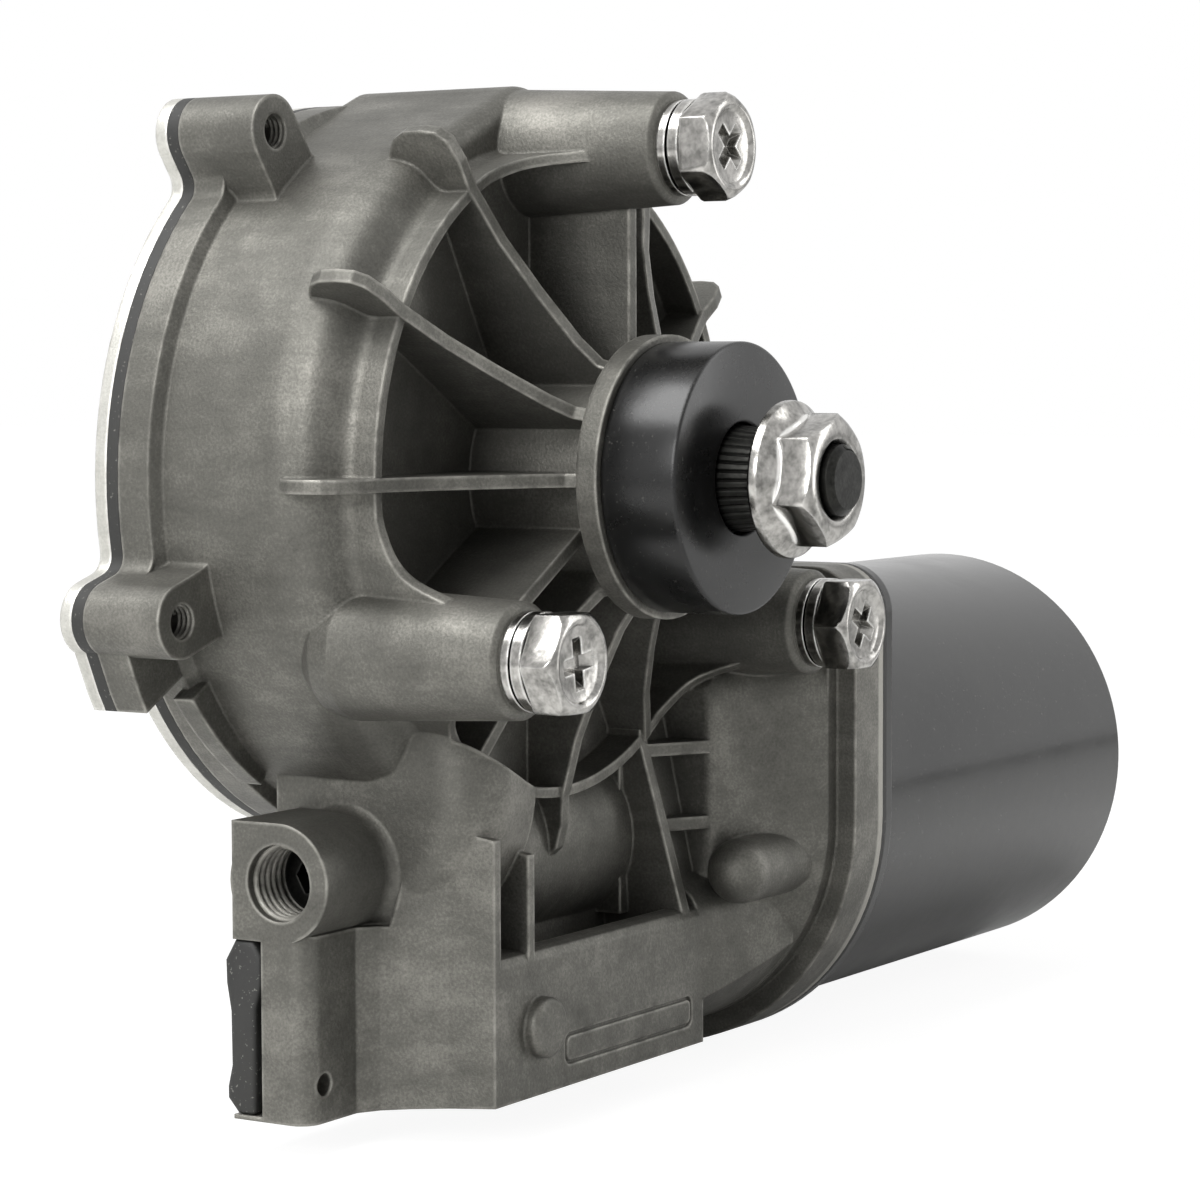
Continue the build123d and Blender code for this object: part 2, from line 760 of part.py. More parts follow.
def rear_cover():
    """Pressed cover plate with a raised middle."""
    outline = cover_outline()
    for hole in screw_holes(screw_r + rest_gap):
        outline -= hole
    step_r = flange_r - cover_step_inset
    plate = along_y(outline, gasket_rear_y, cover_rear_y)
    plate += rod_y(step_r, gasket_rear_y, cover_rear_y + cover_step)
    return plate - rod_y(step_r - cover_t, gasket_rear_y - hidden, gasket_rear_y + cover_step)


def cover_screws():
    screws = []
    for angle in ear_angles:
        x, z = polar(ear_circle_r, angle)
        screws.append(rod_y(screw_r, screw_tip_y, cover_rear_y, x, z)
                      + rod_y(screw_head_r, cover_rear_y, cover_rear_y + screw_head_t, x, z))
    return screws


def hexagon(flats, front, rear, x=0.0, z=0.0, angle=0.0):
    outline = Pos(x, z) * Rot(0, 0, angle) * RegularPolygon(flats / 2, 6, major_radius=False)
    return along_y(outline, front, rear)


def mounting_bolts():
    """Hexagon bolts in the three posts, with the corners of their heads rounded off."""
    bolts = []
    rear = spring_washer_y
    front = rear - bolt_head_t
    for angle, twist in zip(post_angles, bolt_head_twist):
        x, z = polar(post_circle_r, angle)
        flat_r = bolt_head_flats / 2
        dome = about_output((0, front), (flat_r - 0.3, front), (flat_r + 1.4, front + 1.1),
                            (flat_r + 1.4, rear), (0, rear))
        head = hexagon(bolt_head_flats, front, rear, x, z, twist) & (Pos(x, 0, z) * dome)
        bolts.append(head + rod_y(bolt_r, rear, bolt_reach, x, z))
    return bolts


def bolt_washers():
    """A spring washer and a plain washer on each mounting bolt."""
    springs = []
    plains = []
    for angle in post_angles:
        x, z = polar(post_circle_r, angle)
        hole = rod_y(bolt_r + seat_gap, spring_washer_y - hidden, hidden, x, z)
        plains.append(rod_y(washer_r, -plain_washer_t, 0, x, z) - hole)
        slot = box_between(-washer_r - hidden, 0, spring_washer_y - hidden, 0,
                           -spring_washer_slot / 2, spring_washer_slot / 2)
        ring = rod_y(washer_r, spring_washer_y, -plain_washer_t, x, z) - hole
        springs.append(ring - Pos(x, 0, z) * Rot(0, -30, 0) * slot)
    return springs, plains


def shaft_cap():
    """Round plastic cap over the shaft end of the hub."""
    body = rod_y(cap_r, cap_front_y, hub_front_y)
    body -= rod_y(nose_r + seat_gap, cap_front_y + cap_wall, hub_front_y + hidden)
    return body - rod_y(journal_r + rest_gap, cap_front_y - hidden, cap_front_y + cap_wall + hidden)


def shaft_bore(front, rear):
    return rod_y(journal_r + running_gap, front - hidden, rear + hidden)


def shaft_seal():
    rear = nose_front_y + seal_length
    return rod_y(seal_r, nose_front_y, rear) - shaft_bore(nose_front_y, rear)


def output_bushes():
    bushes = []
    front = nose_front_y + seal_length
    for start in (front, chamber_front_y - bush_length):
        end = start + bush_length
        bushes.append(rod_y(output_bush_r, start, end) - shaft_bore(start, end))
    return bushes


def output_shaft():
    """Stepped output shaft with a serrated taper and a threaded end."""
    cone_rear = cap_front_y + hidden
    body = about_output(
        (0, shaft_tip_y), (output_thread_r - 0.9, shaft_tip_y), (output_thread_r, shaft_tip_y + 0.9),
        (output_thread_r, nut_flange_y), (cone_small_r, nut_flange_y), (journal_r, cone_rear),
        (journal_r, shaft_rear_y - 1), (journal_r - 1, shaft_rear_y), (0, shaft_rear_y))
    groove = rod_y(journal_r + hidden, circlip_front_y, circlip_front_y + circlip_t)
    groove -= rod_y(journal_r - circlip_groove, circlip_front_y - hidden, circlip_front_y + circlip_t + hidden)
    body -= groove
    cutters = []
    for i in range(serration_count):
        ends = []
        for y, radius in ((nut_flange_y - 0.1, cone_small_r), (cone_rear, journal_r)):
            notch = polygon((radius - serration_depth, 0), (radius + 0.2, 0.5), (radius + 0.2, -0.5))
            ends.append(Plane.XZ.offset(-y) * Rot(0, 0, i * 360 / serration_count) * notch)
        cutters.append(loft(ends, ruled=True))
    return body - cutters


def circlip():
    front = circlip_front_y + seat_gap
    rear = circlip_front_y + circlip_t - seat_gap
    ring = rod_y(circlip_r, front, rear)
    ring -= rod_y(journal_r - circlip_groove + seat_gap, front - hidden, rear + hidden)
    return ring - box_between(-1.5, 1.5, front - hidden, rear + hidden, 0, circlip_r + hidden)


def shim_washers():
    """Thin washers between the circlip and the nose, and between the housing and the wheel hub."""
    front = nose_front_y - running_gap - washer_t
    rear = chamber_front_y + running_gap
    return [rod_y(nose_r - 1, front, front + washer_t) - shaft_bore(front, front + washer_t),
            rod_y(nose_r + 1, rear, rear + washer_t) - shaft_bore(rear, rear + washer_t)]


def flange_nut():
    """Flange nut whose flange slopes up to the hexagon."""
    rise = nut_flange_y - nut_flange_t
    flats_r = nut_across_flats / 2
    body = hexagon(nut_across_flats, nut_front_y, nut_flange_y - hidden, angle=nut_angle)
    dome = about_output((0, nut_front_y), (flats_r - 0.2, nut_front_y), (flats_r + 1.4, nut_front_y + 1),
                        (flats_r + 1.4, nut_flange_y), (0, nut_flange_y))
    skirt = about_output((0, rise - 1.6), (flats_r, rise - 1.6), (nut_flange_r, rise),
                         (nut_flange_r, nut_flange_y), (0, nut_flange_y))
    body = (body & dome) + skirt
    return body - rod_y(output_thread_r + seat_gap, nut_front_y - hidden, nut_flange_y + hidden)


def gear_outline():
    """Outline of the wheel with straight-flanked teeth."""
    points = []
    for i in range(wheel_teeth):
        middle = math.radians(i * 360 / wheel_teeth)
        for radius, side in ((wheel_root_r, -1), (wheel_tip_r, -1), (wheel_tip_r, 1), (wheel_root_r, 1)):
            half = tooth_half - (radius - wheel_pitch_r) * flank_slope
            angle = middle + side * half / radius
            points.append((radius * math.cos(angle), radius * math.sin(angle)))
    return polygon(*points)


def worm_wheel():
    """Plastic wheel with helical teeth, a thin web and a thick rim."""
    lead = tooth_pitch / (2 * math.pi * worm_pitch_r)
    shift = math.degrees(wheel_width / 2 * lead / wheel_pitch_r)
    outline = gear_outline()
    body = loft([Plane.XZ.offset(-wheel_front_y) * Rot(0, 0, shift) * outline,
                 Plane.XZ.offset(-wheel_rear_y) * Rot(0, 0, -shift) * outline], ruled=True)
    rim_r = wheel_root_r - 5
    sink = wheel_width / 3
    body -= about_output((wheel_hub_r + 4, wheel_front_y - hidden), (rim_r, wheel_front_y - hidden),
                         (rim_r - 1, wheel_front_y + sink), (wheel_hub_r + 5, wheel_front_y + sink))
    return body - rod_y(wheel_hub_r + seat_gap, wheel_front_y - hidden, wheel_rear_y + hidden)


def wheel_hub():
    """Steel hub pressed between the wheel and the shaft."""
    rear = wheel_rear_y + 1.5
    return rod_y(wheel_hub_r, hub_rear_y, rear) - rod_y(journal_r + seat_gap, hub_rear_y - hidden,
                                                        rear + hidden)


def park_disc():
    """Contact ring on the rear of the wheel, with its parking notch."""
    rear = wheel_rear_y + park_disc_t
    ring = rod_y(park_disc_outer_r, wheel_rear_y, rear)
    ring -= rod_y(park_disc_inner_r, wheel_rear_y - hidden, rear + hidden)
    half = park_notch_width / 2
    return ring - box_between(park_disc_outer_r - park_notch_depth, park_disc_outer_r + hidden,
                              wheel_rear_y - hidden, rear + hidden, -half, half)


def park_switch():
    """Contact carrier on the cover and three spring fingers on the disc."""
    rear = gasket_rear_y + cover_step
    front = rear - carrier_t
    half = carrier_width / 2
    carrier = box_between(carrier_x - carrier_length / 2, carrier_x + carrier_length / 2, front, rear,
                          carrier_z - half, carrier_z + half)
    touch = wheel_rear_y + park_disc_t + rest_gap
    tip = carrier_z - finger_reach
    outline = polygon((front, carrier_z), (front, carrier_z - finger_t * 2), (touch + finger_t, tip),
                      (touch, tip), (front - finger_t, carrier_z - finger_t), (front - finger_t, carrier_z))
    fingers = []
    for i in (-1, 0, 1):
        x = carrier_x + i * finger_pitch
        fingers.append(along_x(outline, x - finger_width / 2, x + finger_width / 2))
    return carrier, fingers


def armature_shaft():
    """Armature shaft with the worm cut into it."""
    core = about_motor(
        (shaft_start_x, 0), (shaft_start_x, shaft_r - 0.6), (shaft_start_x + 0.6, shaft_r),
        (-worm_half - 2, shaft_r), (-worm_half - 1, worm_root_r), (worm_half + 1, worm_root_r),
        (worm_half + 2, shaft_r), (shaft_end_x, shaft_r), (shaft_end_x, 0))
    low = worm_root_r - rest_gap
    wide = tooth_half + (worm_pitch_r - low) * flank_slope
    narrow = tooth_half - addendum * flank_slope
    outline = polygon((low, -wide), (worm_tip_r, -narrow), (worm_tip_r, narrow), (low, wide))
    path = Helix(tooth_pitch, 2 * worm_half, worm_pitch_r)
    thread = sweep(Plane.XZ * outline, path=path, is_frenet=True)
    return core + Pos(-worm_half, motor_y, motor_z) * Rot(0, 90, 0) * thread


def thrust_parts():
    """Adjusting screw deep in the threaded hole and the ball ahead of the shaft."""
    screw = rod_x(thrust_seat_r - seat_gap, thrust_start_x, thrust_end_x)
    socket = Pos(motor_y, motor_z) * RegularPolygon(thrust_socket_r, 6, major_radius=False)
    screw -= along_x(socket, thrust_start_x - hidden, thrust_start_x + thrust_socket_depth)
    return screw, Pos(ball_x, motor_y, motor_z) * Sphere(ball_r)


def motor_can():
    """Drawn steel can with a lip, a closed end, two sunk bolt seats and a bearing cup."""
    lip = along_x(bell_outline(), can_lip_x, can_tube_x)
    edge = can_end_round
    floor_x = can_end_x - can_wall
    body = lip + about_motor(
        (can_lip_x, 0), (can_lip_x, can_r), (can_end_x - edge, can_r),
        (can_end_x - edge * 0.3, can_r - edge * 0.3), (can_end_x, can_r - edge),
        (can_end_x, can_cup_r + 1), (can_cup_x - 1, can_cup_r), (can_cup_x, can_cup_r - 1), (can_cup_x, 0))
    hollow = about_motor(
        (can_lip_x - hidden, 0), (can_lip_x - hidden, can_inner_r), (floor_x, can_inner_r),
        (floor_x, bush_r + seat_gap), (can_cup_x - can_wall, bush_r + seat_gap), (can_cup_x - can_wall, 0))
    for y, z in through_bolt_places():
        hollow -= rod_x(through_seat_r + can_wall / 2, floor_x - through_seat_depth, floor_x + hidden, y, z)
    body -= hollow
    for y, z in through_bolt_places():
        body -= rod_x(through_seat_r, can_end_x - through_seat_depth, can_end_x + hidden, y, z)
        body -= rod_x(through_bolt_r + seat_gap, can_end_x - 3 * through_seat_depth, can_end_x, y, z)
    return body


def can_seal():
    outline = bell_outline() - Pos(motor_y, motor_z) * Circle(can_inner_r)
    return along_x(outline, bell_face_x, can_lip_x)


def can_screws():
    """Two long screws through the can into the bell, with their heads sunk in the can end."""
    seat_x = can_end_x - through_seat_depth
    return [rod_x(through_bolt_r, brush_room_x - 5, seat_x, y, z)
            + rod_x(through_head_r, seat_x, seat_x + through_head_t, y, z)
            for y, z in through_bolt_places()]


def magnets():
    outer = can_inner_r - seat_gap
    inner = outer - magnet_t
    middle = core_start_x + core_length / 2
    arcs = []
    for centre in (90, 270):
        start = centre - magnet_span / 2
        arc = make_face(Curve() + [
            Line(polar(inner, start), polar(outer, start)),
            CenterArc((0, 0), outer, start, magnet_span),
            Line(polar(outer, start + magnet_span), polar(inner, start + magnet_span)),
            CenterArc((0, 0), inner, start, magnet_span)])
        arcs.append(along_x(Pos(motor_y, motor_z) * arc, middle - magnet_length / 2,
                            middle + magnet_length / 2))
    return arcs


def armature_core():
    outline = Circle(core_r) - Circle(shaft_r + seat_gap)
    for i in range(slot_count):
        slot = Pos(core_r - slot_depth / 2, 0) * Rectangle(slot_depth + hidden, slot_width)
        outline -= Rot(0, 0, i * 360 / slot_count) * slot
    return along_x(Pos(motor_y, motor_z) * outline, core_start_x, core_start_x + core_length)


def armature_winding():
    """Copper in the slots, with a rounded bundle at each end."""
    end = core_start_x + core_length
    parts = []
    for near, far in ((core_start_x - winding_length, core_start_x - rest_gap),
                      (end + rest_gap, end + winding_length)):
        parts.append(about_motor((near, winding_inner_r), (near, winding_r - 2), (near + 2, winding_r),
                                 (far - 2, winding_r), (far, winding_r - 2), (far, winding_inner_r)))
    for i in range(slot_count):
        bar = Pos(core_r - slot_depth * 0.7, 0) * Rectangle(slot_depth * 0.4, slot_width - 2 * rest_gap)
        bar = Pos(motor_y, motor_z) * Rot(0, 0, i * 360 / slot_count) * bar
        parts.append(along_x(bar, core_start_x - 2, end + 2))
    return parts[0] + parts[1:]


def commutator():
    outline = Circle(commutator_r) - Circle(shaft_r + seat_gap)
    for i in range(slot_count):
        slit = Pos(commutator_r, 0) * Rectangle(3.0, commutator_slit)
        outline -= Rot(0, 0, (i + 0.5) * 360 / slot_count) * slit
    return along_x(Pos(motor_y, motor_z) * outline, commutator_start_x,
                   commutator_start_x + commutator_length)


def motor_bushes():
    inner = shaft_r + running_gap
    end = can_cup_x - can_wall
    return [ring_x(bush_r, inner, worm_bush_x, worm_bush_x + worm_bush_length),
            ring_x(bush_r, inner, mid_bush_x, mid_bush_x + mid_bush_length),
            ring_x(bush_r, inner, end - end_bush_length, end)]


def brush_gear():
    """Insulating plate with two brush boxes, two brushes and their springs."""
    base = brush_plate_x + brush_plate_t
    plate = ring_x(brush_room_r - seat_gap, commutator_r + 2, brush_plate_x, base)
    for y, z in through_bolt_places():
        plate -= rod_x(through_bolt_r + rest_gap, brush_plate_x - hidden, base + hidden, y, z)
    middle = commutator_middle_x
    half_h = brush_height / 2
    half_w = brush_width / 2
    start = commutator_r + 1.5
    end = start + holder_length
    brush_end = commutator_r + brush_length
    shell = box_between(base, middle + half_h + holder_wall, -half_w - holder_wall,
                        half_w + holder_wall, start, end)
    room = box_between(middle - half_h - seat_gap, middle + half_h + seat_gap, -half_w - seat_gap,
                       half_w + seat_gap, start - hidden, end - holder_wall)
    brush = box_between(middle - half_h, middle + half_h, -half_w, half_w, commutator_r - 2, brush_end)
    brush -= Pos(middle, 0, 0) * Rot(0, 90, 0) * Cylinder(commutator_r + rest_gap, 2 * brush_height)
    spring_length = end - holder_wall - brush_end
    spring = Cylinder(spring_r, spring_length) - Cylinder(spring_r - spring_wire, spring_length)
    spring = Pos(middle, 0, brush_end + spring_length / 2) * spring
    holders = []
    brushes = []
    springs = []
    for angle in (0, 180):
        place = Pos(0, motor_y, motor_z) * Rot(angle, 0, 0)
        holders.append(place * (shell - room))
        brushes.append(place * brush)
        springs.append(place * spring)
    return plate, holders, brushes, springs


def terminal_cover():
    """Thin plate behind the terminal room."""
    return box_between(tube_start_x + 1, box_end_x - 4, box_rear_y, box_rear_y + terminal_cover_t,
                       box_bottom_z, box_top_z - 1)


def terminal_block():
    """Plastic block with three brass blades in the terminal room."""
    x0 = tube_start_x + box_wall
    low = box_bottom_z + box_wall
    high = box_top_z - groove_depth - box_wall
    block = box_between(x0, x0 + 4 * blade_pitch, box_rear_y - 10, box_rear_y, low, high)
    middle = (low + high) / 2
    blades = []
    for i in range(3):
        x = x0 + blade_pitch * (i + 1)
        front = box_rear_y - 10 - blade_length * 0.6
        rear = front + blade_length
        slot = box_between(x - blade_width / 2, x + blade_width / 2, front, rear,
                           middle - blade_t / 2, middle + blade_t / 2)
        blades.append(slot)
        block -= slot
    return block, blades


def write(name, shape):
    """Writes one node; a list is kept as separate solids."""
    items = shape if isinstance(shape, list) else [shape]
    found = [solid for item in items for solid in item.solids()]
    result = found[0] if len(found) == 1 else Compound(children=found)
    export_step(result, f"parts/{name}.step")


os.makedirs("parts", exist_ok=True)
springs, plains = bolt_washers()
thrust_screw, thrust_ball = thrust_parts()
carrier, fingers = park_switch()
brush_plate, brush_holders, brushes, brush_springs = brush_gear()
block, blades = terminal_block()

nodes = {
    "gear_housing": gear_housing(),
    "rear_cover": rear_cover(),
    "cover_gasket": cover_gasket(),
    "cover_screws": cover_screws(),
    "mounting_bolts": mounting_bolts(),
    "spring_washers": springs,
    "plain_washers": plains,
    "shaft_cap": shaft_cap(),
    "shaft_seal": shaft_seal(),
    "output_bushes": output_bushes(),
    "output_shaft": output_shaft(),
    "circlip": circlip(),
    "shim_washers": shim_washers(),
    "flange_nut": flange_nut(),
    "worm_wheel": worm_wheel(),
    "wheel_hub": wheel_hub(),
    "park_disc": park_disc(),
    "park_carrier": carrier,
    "park_fingers": fingers,
    "armature_shaft": armature_shaft(),
    "armature_core": armature_core(),
    "armature_winding": armature_winding(),
    "commutator": commutator(),
    "motor_bushes": motor_bushes(),
    "thrust_screw": thrust_screw,
    "thrust_ball": thrust_ball,
    "motor_can": motor_can(),
    "can_seal": can_seal(),
    "can_screws": can_screws(),
    "magnets": magnets(),
    "brush_plate": brush_plate,
    "brush_holders": brush_holders,
    "brushes": brushes,
    "brush_springs": brush_springs,
    "cable_grommet": cable_grommet(),
    "terminal_cover": terminal_cover(),
    "terminal_block": block,
    "terminal_blades": blades,
}
for name, shape in nodes.items():
    write(name, shape)
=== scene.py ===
# %% [markdown]
# # Wiper motor with a ribbed cast housing
# The CAD model brings every part of the motor to its place, in metres. This lesson gives each part
# the surface that its real material and process leave, and adds the small shapes that CAD left plain:
# driver recesses, rounded nut corners, screw threads and the soft rubber grommet.

# %% Load the motor and keep its size
import bpy
import bmesh
import json
import math
from mathutils import Matrix, Vector


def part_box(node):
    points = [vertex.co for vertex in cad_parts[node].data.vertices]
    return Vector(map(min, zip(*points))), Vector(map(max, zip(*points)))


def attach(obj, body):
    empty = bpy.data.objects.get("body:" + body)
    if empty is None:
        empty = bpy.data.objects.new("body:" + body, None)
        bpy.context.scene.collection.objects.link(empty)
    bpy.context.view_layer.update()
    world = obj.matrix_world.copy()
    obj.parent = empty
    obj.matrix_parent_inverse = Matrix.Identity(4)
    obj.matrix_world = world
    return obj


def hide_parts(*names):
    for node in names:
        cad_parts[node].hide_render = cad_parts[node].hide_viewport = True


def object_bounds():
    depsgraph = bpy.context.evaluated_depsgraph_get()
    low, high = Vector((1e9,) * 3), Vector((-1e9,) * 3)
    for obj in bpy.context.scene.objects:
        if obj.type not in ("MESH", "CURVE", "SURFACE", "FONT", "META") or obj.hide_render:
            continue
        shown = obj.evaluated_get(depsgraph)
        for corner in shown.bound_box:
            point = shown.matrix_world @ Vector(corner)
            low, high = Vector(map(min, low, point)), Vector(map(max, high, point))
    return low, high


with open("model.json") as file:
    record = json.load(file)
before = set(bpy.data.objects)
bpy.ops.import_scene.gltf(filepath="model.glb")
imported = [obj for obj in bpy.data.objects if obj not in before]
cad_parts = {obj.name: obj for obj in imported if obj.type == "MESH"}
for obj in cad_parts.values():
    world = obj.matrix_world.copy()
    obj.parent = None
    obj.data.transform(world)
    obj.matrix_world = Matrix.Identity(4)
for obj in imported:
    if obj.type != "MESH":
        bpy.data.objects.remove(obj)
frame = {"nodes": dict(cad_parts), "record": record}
nodes = frame["nodes"]
cad_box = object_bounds()
print("CAD box in mm:", [[round(v * 1000, 1) for v in corner] for corner in cad_box])

# %% [markdown]
# ## Lengths
# Small parts are easier to think about in millimetres. One factor turns them into Blender's metres.

# %% Millimetres
MM = 0.001


def place(x, y, z):
    """A point given in millimetres."""
    return Vector((x, y, z)) * MM


MOTOR_AXIS = place(0, 36.0, -54.25)
POST_CIRCLE = 45.87
EAR_CIRCLE = 59.3
EAR_ANGLES = (54, 126, 198, 270, 350)


def around(radius, angle, y):
    """A point on a circle about the output shaft, with its angle from +X towards +Z."""
    turn = math.radians(angle)
    return place(radius * math.cos(turn), y, radius * math.sin(turn))


print("posts at", [tuple(round(v, 4) for v in around(POST_CIRCLE, a, 0)) for a in (90, 210, 330)])

# %% [markdown]
# ## Camera
# The view is from the left front, almost level, with a long lens, as a product photographer works to
# keep circles from being stretched. The camera's axes were found from the round parts of the motor.

# %% Camera
eye = Vector((-0.4282, -0.2531, 0.0167))
back = Vector((-0.847, -0.527, 0.068)).normalized()
right = Vector((0.528, -0.849, -0.003)).normalized()
up = back.cross(right).normalized()
right = up.cross(back).normalized()
camera = bpy.data.objects.new("camera", bpy.data.cameras.new("camera"))
bpy.context.scene.collection.objects.link(camera)
camera.matrix_world = Matrix.Translation(eye) @ Matrix((right, up, back)).transposed().to_4x4()
camera.data.sensor_width = 36.0
camera.data.lens = 106.4
camera.data.clip_start = 0.01
camera.data.clip_end = 20.0
bpy.context.scene.camera = camera
bpy.context.scene.view_settings.view_transform = "Standard"
print("camera is", round(eye.length, 3), "m from the output shaft")

# %% [markdown]
# ## Light
# Bright metal is only as interesting as what it mirrors. One large lamp above and to the left makes the
# broad highlights on the cap and the can, a tall and weak one on the right draws their far edges, and a
# small one in front opens the pockets between the ribs. Sizes are in metres and strengths in watts.

# %% Lamps
middle = (cad_box[0] + cad_box[1]) / 2


def lamp(name, direction, distance, size, watts):
    """A square area lamp that looks at the middle of the motor."""
    data = bpy.data.lights.new(name, "AREA")
    data.shape = "RECTANGLE"
    data.size, data.size_y = size
    data.energy = watts
    item = bpy.data.objects.new(name, data)
    item.location = middle + direction.normalized() * distance
    item.rotation_mode = "QUATERNION"
    item.rotation_quaternion = direction.to_track_quat("Z", "Y")
    bpy.context.scene.collection.objects.link(item)
    return item


lamps = [
    lamp("lamp_above_left", up * 1.0 - right * 0.55 + back * 0.45, 0.9, (0.7, 0.5), 9.0),
    lamp("lamp_right", right * 1.0 + up * 0.35 - back * 0.15, 0.9, (0.25, 0.9), 2.2),
    lamp("lamp_front", back * 1.0 + up * 0.35 - right * 0.6, 1.1, (0.4, 0.4), 5.5),
]
print("lamps:", [(item.name, item.data.energy) for item in lamps])

# %% [markdown]
# ## One way to add nodes
# A finish is a small network of nodes. This function adds any kind of node, sets its options, and fills
# its sockets with a number, a colour or a link. Colours are written as on a paint chart and turned
# to the linear values that a renderer counts with.
#
# Two kinds of node have sockets that go by number. Map Range takes its value in 0, the range it comes
# from in 1 and 2, and the range it goes to in 3 and 4. Mix takes its share in 0, two numbers in 2 and 3,
# and two colours in 6 and 7.

# %% Helpers for finishes
def linear(code):
    """An sRGB hex colour as linear red, green, blue and alpha."""
    parts = [int(code[i:i + 2], 16) / 255 for i in (1, 3, 5)]
    return tuple(c / 12.92 if c <= 0.04045 else ((c + 0.055) / 1.055) ** 2.4 for c in parts) + (1.0,)


def add(finish, kind, sockets=None, stops=None, **options):
    """Adds a node with its options, its sockets' values or links, and a ramp's stops."""
    node = finish.node_tree.nodes.new("ShaderNode" + kind)
    for name, value in options.items():
        setattr(node, name, value)
    for name, value in (sockets or {}).items():
        if isinstance(value, bpy.types.NodeSocket):
            finish.node_tree.links.new(value, node.inputs[name])
        else:
            node.inputs[name].default_value = value
    for i, (position, code) in enumerate(stops or []):
        ramp = node.color_ramp.elements
        stop = ramp[i] if i < 2 else ramp.new(position)
        stop.position = position
        stop.color = linear(code)
    return node


def new_finish(name, **values):
    """An empty material with a Principled shader, its output, and Object coordinates."""
    finish = bpy.data.materials.new(name)
    finish.use_nodes = True
    finish.node_tree.nodes.clear()
    shader = add(finish, "BsdfPrincipled", values)
    add(finish, "OutputMaterial", {"Surface": shader.outputs["BSDF"]})
    where = add(finish, "TexCoord").outputs["Object"]
    return finish, shader, where


def wire(finish, source, node, socket):
    finish.node_tree.links.new(source, node.inputs[socket])


def per_metre(millimetres):
    """Noise scale whose features are about this size."""
    return 1000.0 / millimetres


print("mid grey", [round(v, 3) for v in linear("#808080")])

# %% [markdown]
# ## White surroundings
# The world shows plain white to the camera and in reflections, and a softer level lights the parts.
# The floor is white too, and keeps the shadow of the motor.

# %% World and floor
world = bpy.data.worlds.new("studio")
bpy.context.scene.world = world
world.use_nodes = True
world.node_tree.nodes.clear()
path = add(world, "LightPath").outputs
seen = add(world, "Math", {0: path["Is Camera Ray"], 1: path["Is Glossy Ray"]}, operation="MAXIMUM")
clear = add(world, "Math", {0: seen.outputs[0], 1: path["Is Transmission Ray"]}, operation="MAXIMUM")
soft = add(world, "Background", {"Color": linear("#ffffff"), "Strength": 0.4})
white = add(world, "Background", {"Color": linear("#ffffff"), "Strength": 1.0})
choose = add(world, "MixShader", {0: clear.outputs[0], 1: soft.outputs[0], 2: white.outputs[0]})
add(world, "OutputWorld", {"Surface": choose.outputs[0]})

SEEN_SHARE = 0.8    # the camera sees this share of the floor as plain white, and the rest as shaded paper
paper, paper_shader, paper_where = new_finish("white_paper", Roughness=0.9)
fibre = add(paper, "TexNoise", {"Vector": paper_where, "Scale": per_metre(3)})
tint = add(paper, "ValToRGB", {"Fac": fibre.outputs["Fac"]}, [(0.3, "#f4f4f3"), (0.7, "#f7f7f6")])
wire(paper, tint.outputs["Color"], paper_shader, "Base Color")
glow = add(paper, "Emission", {"Color": linear("#ffffff"), "Strength": 1.15})
paper_path = add(paper, "LightPath")
share = add(paper, "Math", {0: paper_path.outputs["Is Camera Ray"], 1: SEEN_SHARE}, operation="MULTIPLY")
paper_mix = add(paper, "MixShader", {0: share.outputs[0], 1: paper_shader.outputs[0],
                                     2: glow.outputs[0]})
paper_out = [n for n in paper.node_tree.nodes if n.type == "OUTPUT_MATERIAL"][0]
wire(paper, paper_mix.outputs[0], paper_out, "Surface")

sheet = bmesh.new()
bmesh.ops.create_grid(sheet, x_segments=8, y_segments=8, size=4.0)
bmesh.ops.translate(sheet, verts=sheet.verts, vec=(0, 0, cad_box[0].z - 0.0002))
floor_mesh = bpy.data.meshes.new("floor")
sheet.to_mesh(floor_mesh)
sheet.free()
floor = bpy.data.objects.new("floor", floor_mesh)
bpy.context.scene.collection.objects.link(floor)
floor_mesh.materials.append(paper)
print("floor at", round(cad_box[0].z * 1000, 1), "mm")

# %% [markdown]
# ## Die-cast aluminium
# The housing is aluminium forced into a steel mould. It leaves the mould dull grey, with cloudy flow
# marks, a fine grain from the mould's skin and bright metal where edges are worn. The joint with the
# motor is milled, so it is bright all over. A bevel node rounds the edges as the mould's small radii do.
# Ambient occlusion outside the metal finds the pockets and the hollows round the motor, and darkens the
# colour there as painted shade; the same measure inside it finds the outer edges.
#
# The clouds are 16 mm wide, the flow marks 3 mm wide and three times as long, and the grain is 0.4 mm,
# which is coarser than the real one, so that it still shows at this distance.

# %% Finish of the casting
MILLED_FROM = 0.0572    # where the milled joint with the motor starts along X, in metres
MILLED_TO = 0.0578


